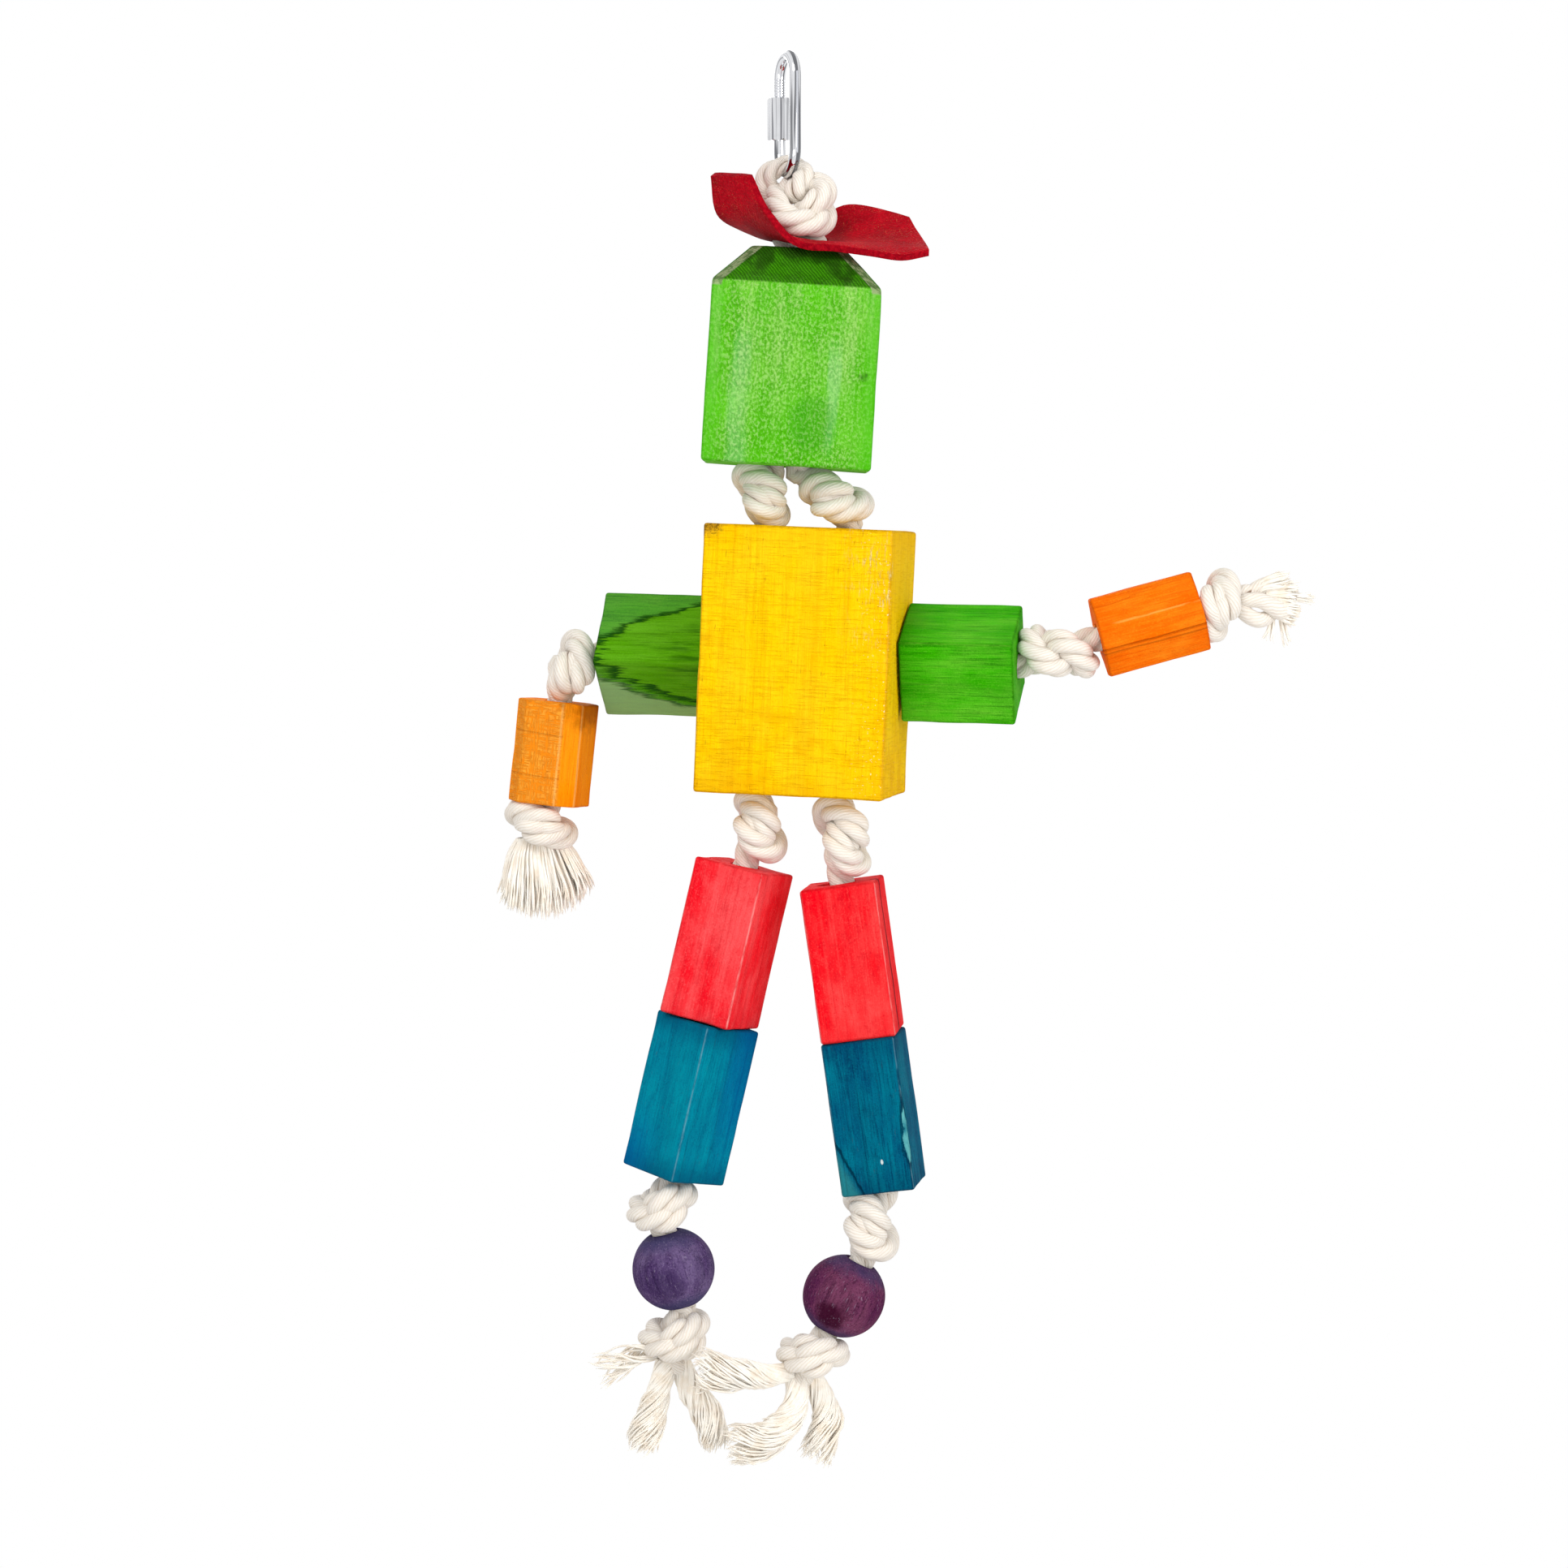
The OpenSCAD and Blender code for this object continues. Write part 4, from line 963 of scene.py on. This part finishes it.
# Hips: each leg rope is knotted once more where it leaves the body, then goes into the thigh.
HIP_RUN = (Vector((-3.4, 0, -22.2)), Vector((1.1, 0, -26)))
hip_tops = [body_frame @ Vector((sign * LEG_BORE[0], LEG_BORE[1], -BODY[2] - SEAT)) for sign in SIGNS]
leg_frames = hung_frames(hip_tops, HIP_RUN, (13.1, -8))
for s, side in enumerate(SIDES):
    foot = leg_frames[s] @ Vector((0, 0, SEAT))
    route = knot_route(
        hip_tops[s], heading(body_frame, DOWN), foot, heading(leg_frames[s], DOWN), -1, (-8, 12)[s],
        HIP_RUN[s].length - 3.5, ((2.8, 0, 1), (0.6, 0, 1.2))[s], axis=((-0.4, 0, -1), (-0.2, 0, -1))[s])
    bending_knot("hip_knot_" + side, route, hip_tops[s], foot)

# Thighs: square sticks dyed coral red, threaded on the leg ropes. Their long edges are rubbed pale, and the
# right one is split along its outer side, with the mouth of its bore worn wide.
THIGHS = ((23.0, 23.0, 48.2), (23.0, 23.0, 46.5))
WORN_R = 5.8
WORN_DEEP = 7


def thigh_split(w, here, x, y, z, tone, height):
    wander = w.drawn(here, 0.2, 0.12, 2) * 5
    split = abs(y + wander - 0.5).ramp(1.5, 0.4) * x.ramp(8, 10)
    return w.mix(split * 0.85, tone, dye(92, 10, 22)), height - split * 3


for s, side in enumerate(SIDES):
    place = leg_frames[s] @ turn_by((-25, -8)[s], "Z")
    worn_mouth = (WORN_R, shift(-1.7, 0, 1.5 * THIGHS[s][2] - WORN_DEEP))
    thigh = sawn_block("thigh_wood_" + side, THIGHS[s], place, 51.0 + 3 * s, bores=(
        ((BORE, None),), ((BORE, None), worn_mouth))[s])
    dye_wood(thigh, "coral thigh " + side, THIGHS[s], dye(212, 0, 26), (dye(247, 16, 34), dye(240, 4, 24))[s],
             (dye(252, 104, 104), dye(251, 84, 80))[s], pith=(30, 44), rings=9, lines=0.15, fibre=0.6,
             wear=0.6, worn=dye(254, 176, 172), grit=0.5, mottle=(0.4, 0.55)[s], seed=61.0 + 17 * s,
             extra=(None, thigh_split)[s])
    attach(thigh, "thigh_" + side)
    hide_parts("thigh_" + side, "leg_rope_" + side)

# Shins: the same sticks dyed teal, butted below the thighs on the same rope. The edges are rubbed almost
# white in places, and a splinter is torn from the right one's front edge.
SHINS = ((22.5, 22.5, 48.2), (22.5, 22.5, 46.5))


def torn_edge(w, here, x, y, z, tone, height):
    front = y.ramp(-10, -10.8)
    wander = w.drawn(here, 0.3, 0.6, 4, 0.65)
    bare = z.ramp(-42, -34) * z.ramp(-14, -30) * (wander * 3.8 - 0.5) - (y - x + SHINS[1][0])
    torn = bare.ramp(0.0, 0.35)
    crack = (x + z * 0.42 + 22.6 + wander * 2.0) * z.ramp(-24, -28)
    line = abs(crack).ramp(0.6, 0.1) * front * z.ramp(-25, -29)
    rims = w.larger(bare.ramp(-0.8, -0.05) * (1 - torn), line)
    chips = ((x - 2.5) ** 2.0 + (z + 37) ** 2.0 * 0.3).ramp(0.25, 0.08) * front
    tone = w.coats(
        tone,
        (torn * 0.8, w.mix(wander.ramp(0.35, 0.6), dye(44, 130, 142), dye(100, 180, 180))),
        (crack.ramp(0.0, -3.0) * front * 0.35, dye(60, 156, 150)),
        (rims * 0.75, dye(0, 34, 58)),
        (chips * 0.75, dye(228, 236, 232)))
    return tone, height - torn * 2 - rims * 2


def bluer_sides(w, here, x, y, z, tone, height):
    """The dye turns bluer down the left side and up the right."""
    drift = w.drawn(here, 0.3, 0.1, 3) * 12 - 6
    blue = w.larger((drift - x).ramp(-4, 10) * z.ramp(-22, -46), (drift + y).ramp(-3, 10) * z.ramp(-50, -22))
    return w.mix(blue * 0.6, tone, dye(0, 86, 150)), height


for s, side in enumerate(SIDES):
    place = leg_frames[s] @ shift(0, 0, -THIGHS[s][2] - SEAT) @ turn_by((-45, -11)[s], "Z")
    shin = sawn_block("shin_wood_" + side, SHINS[s], place, 71.0 + 3 * s)
    dye_wood(shin, "teal shin " + side, SHINS[s], (dye(0, 72, 108), dye(0, 32, 70))[s],
             (dye(0, 126, 152), dye(0, 80, 114))[s], (dye(0, 150, 168), dye(0, 124, 144))[s], pith=(34, 50),
             rings=9, lines=0.2, fibre=(0.5, 0.9)[s], blotch=0.7, wear=0.35, worn=dye(150, 214, 228),
             grit=0.5, painted_end_shade=(0.6, 0.3)[s], mottle=0.3, seed=83.0 + 13 * s, extra=(bluer_sides, torn_edge)[s])
    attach(shin, "shin_" + side)
    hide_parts("shin_" + side)

# Ankles: one more knot in each leg rope, between the shin and the bead.
ANKLE_RUN = (Vector((-2.6, 0, -17.4)), Vector((-7.2, 0, -22.6)))
ankle_tops = [leg_frames[s] @ Vector((0, 0, -THIGHS[s][2] - SHINS[s][2] - 2 * SEAT)) for s in (0, 1)]
foot_frames = hung_frames(ankle_tops, ANKLE_RUN, (-14, 25.7))
for s, side in enumerate(SIDES):
    top, foot, leg = ankle_tops[s], foot_frames[s] @ Vector((0, 0, SEAT)), "leg_core_" + side
    route = knot_route(
        top, heading(leg_frames[s], DOWN), foot, heading(foot_frames[s], DOWN), (1, -1)[s], (15, -10)[s],
        ANKLE_RUN[s].length - (2, 4.2)[s], ((-2, 0, 0), (-0.6, 0, 0.6))[s])
    bending_knot("ankle_knot_" + side, route, top, foot)

# Beads: turned wooden balls, flat at both ends of the bore and dyed purple. The dye is bluer at the ends
# and darker in one blot.
BEAD_R = 12.5
BEAD_H = 23
BEAD_BOX = (90, 90, 90)  # wide of the ball, so that it gets no worn edges


def turned_bead(name, place, seed):
    bpy.ops.mesh.primitive_uv_sphere_add(segments=64, ring_count=40, radius=BEAD_R)
    bead = bpy.context.object
    bead.name = bead.data.name = name
    mode_set(mode="EDIT")
    for end in (1, -1):
        flat = Vector((0, 0, end))
        cut_off(flat * BEAD_H / 2, flat)
    mode_set(mode="OBJECT")
    for v in bead.data.vertices:
        v.co += 0.12 * noise.noise_vector(v.co * 0.1 + Vector((seed, 0, 0)))
    drill(bead, BORE, THROUGH, Matrix.Identity(4))
    soften(bead, 0.5, 40)
    keep_grain(bead)
    bead.data.transform(MM @ place @ shift(0, 0, -BEAD_H / 2))
    bpy.ops.object.shade_smooth_by_angle(angle=math.radians(40))
    return bead


def bead_dye(w, here, x, y, z, tone, height):
    """Bluish towards both flat ends, darker in one blot, with pale streaks that are painted highlights."""
    ends = (abs(z) + w.noise(here, 0.2, 3) * 6).ramp(9, 14)
    off = (x + 2) ** 2.0 + (y + 11) ** 2.0 + (z + (3, 6)[s]) ** 2.0
    blot = (off + w.noise(here, 0.35, 3) * 40).ramp(62, 26)
    # Painted highlights: pale streaks drawn out along the bore.
    highlight_streaks = w.noise(w.grow(here, (2.2, 2.2, 0.35)), 0.9, 3, 0.6).ramp(0.6, 0.72)
    return w.coats(
        tone,
        (ends * (0.7, 0.6)[s], dye(56, 58, 96)),
        (blot * (0.5, 0.85)[s], (dye(44, 28, 66), dye(50, 0, 28))[s]),
        (highlight_streaks * 0.3, dye(176, 164, 186))), height


for s, side in enumerate(SIDES):
    bead = turned_bead("bead_wood_" + side, foot_frames[s], 91.0 + s)
    dye_wood(bead, "purple bead " + side, BEAD_BOX, (dye(22, 12, 44), dye(30, 2, 26))[s],
             (dye(80, 56, 104), dye(91, 33, 77))[s], (dye(126, 106, 148), dye(134, 74, 102))[s],
             pith=(3, -30), rings=6, lines=0.2, fibre=0.7, blotch=0.7, edge_dye_and_shade=0, wear=0, grit=0.8, flecks=0.25,
             seed=97.0 + 31 * s, extra=bead_dye)
    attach(bead, "bead_" + side)
    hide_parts("bead_" + side)

# Feet: a stopper knot under each bead, and the three strands of the rope's end teased out separately. They
# hang towards each other, and two of them meet.
FOOT_H = 15.0
foot_bundles = (
    ((24, (-2, 0, 3, 2), (-8, -2, 3, 3), (-15, -3, 0.5, 5), (-25, -4, -3, 8)),
     (110, (-2.5, -1, 0, 3), (-5, -1, -9, 3.6), (-7.5, 0, -18, 4.6), (-11, 0, -28, 5.4)),
     (110, (1, 1, 0, 3), (4.5, 2, -9, 3.8), (9.5, 3, -17.5, 4.6), (12.5, 4, -28, 4.8))),
    ((110, (-3, -2, 2.5, 2.8), (-10, -7, 2, 3.4), (-19, -11, 3.5, 5), (-32, -12, 5, 7)),
     (110, (-1, -1, 0, 3), (-1, -3, -7, 3.6), (-5, -4, -14, 4.6), (-12, -4, -18.5, 5.8),
      (-22.5, -4, -20, 6.4)),
     (110, (3, 2, 1, 3), (7, 3, -7, 3.6), (8.5, 3, -14, 4.6), (5, 2, -26, 5.4))))
for s, side in enumerate(SIDES):
    top = foot_frames[s] @ Vector((0, 0, -BEAD_H - SEAT))
    place = Matrix.Translation(top) @ turn_by((8, 30)[s], "Y")
    out, down = heading(foot_frames[s], DOWN), heading(place, DOWN)
    foot = place @ Vector((0, 0, -FOOT_H - LEAD))
    route = knot_route(
        top, out, foot, down, 1, (30, -5)[s], FOOT_H, ((-1.5, 0, 0), (0, 0, 0.5))[s], tuck=3.0)
    rope_end("foot", side, route, foot + SEAT * down, foot_bundles[s], 15 + s, "foot_core_", "bead_rope_",
             flat=0.8, twist=0.7)

# Studio: a white floor well below the feet, large soft lamps in front and behind, and a pale surround.
# Floor and surround look plain white, and light the toy less than that.
WHITE = (1, 1, 1, 1)
AIM = Vector((-0.00098, 0, -0.2151))
AWAY = 1.2
RISE = math.radians(3.6)
SENSOR = 36
SHOT_WIDTH = 1932 / 4100  # the photo's pixels across, at 4100 to the metre
LAMPS = (
    ("high lamp", (-0.5, -1.0, 0.8), 0.6, 8.6), ("right lamp", (0.95, -1.0, 0.1), 1.0, 9.6),
    ("low lamp", (-0.4, -1.0, -0.5), 0.8, 2.6), ("back lamp", (-0.3, 1.2, 0.3), 1.0, 7))


def seen_share(w):
    """1 for what the camera sees, also in a reflection, and 0 for light that falls on the toy."""
    light = w.node("LightPath", {})
    names = ("Is Camera Ray", "Is Glossy Ray", "Is Transmission Ray")
    rays = [Wire(w.tree, light.socket.node.outputs[name]) for name in names]
    return w.smaller(rays[0] + rays[1] + rays[2], 1.0)


bpy.ops.mesh.primitive_plane_add(size=6)
floor = bpy.context.object
floor.name = "studio_floor"
floor.data.transform(shift(0, 0.4, -0.52))
paper, w = new_material("studio paper")
plain = w.node("BsdfDiffuse", {"Color": (0.8, 0.8, 0.8, 1)})
glow = w.node("Emission", {"Color": WHITE, "Strength": 1.0})
w.close(w.node("MixShader", {0: seen_share(w), 1: plain, 2: glow}))
floor.data.materials.append(paper)

world = bpy.data.worlds.new("studio")
bpy.context.scene.world = world
world.use_nodes = True
world.node_tree.nodes.clear()
w = Wire(world.node_tree)
around = w.node("Background", {"Color": WHITE, "Strength": 0.56})
white = w.node("Background", {"Color": WHITE, "Strength": 1.0})
shown = w.node("MixShader", {0: seen_share(w), 1: around, 2: white})
w.node("OutputWorld", {"Surface": shown})

for name, where, size, power in LAMPS:
    lamp = bpy.data.lights.new(name, "AREA")
    lamp.shape, lamp.size, lamp.energy = "SQUARE", size, power
    stand = add_object(name, lamp)
    stand.location = where
    stand.rotation_euler = (AIM - Vector(where)).to_track_quat("-Z", "Y").to_euler()

camera = add_object("photo camera", bpy.data.cameras.new("photo camera"))
camera.data.sensor_width = SENSOR
camera.data.lens = SENSOR * AWAY / SHOT_WIDTH
camera.location = AIM + AWAY * Vector((0, -math.cos(RISE), math.sin(RISE)))
camera.rotation_euler = (math.radians(90) - RISE, 0, 0)
scene = bpy.context.scene
scene.camera = camera
scene.view_settings.view_transform = "Standard"
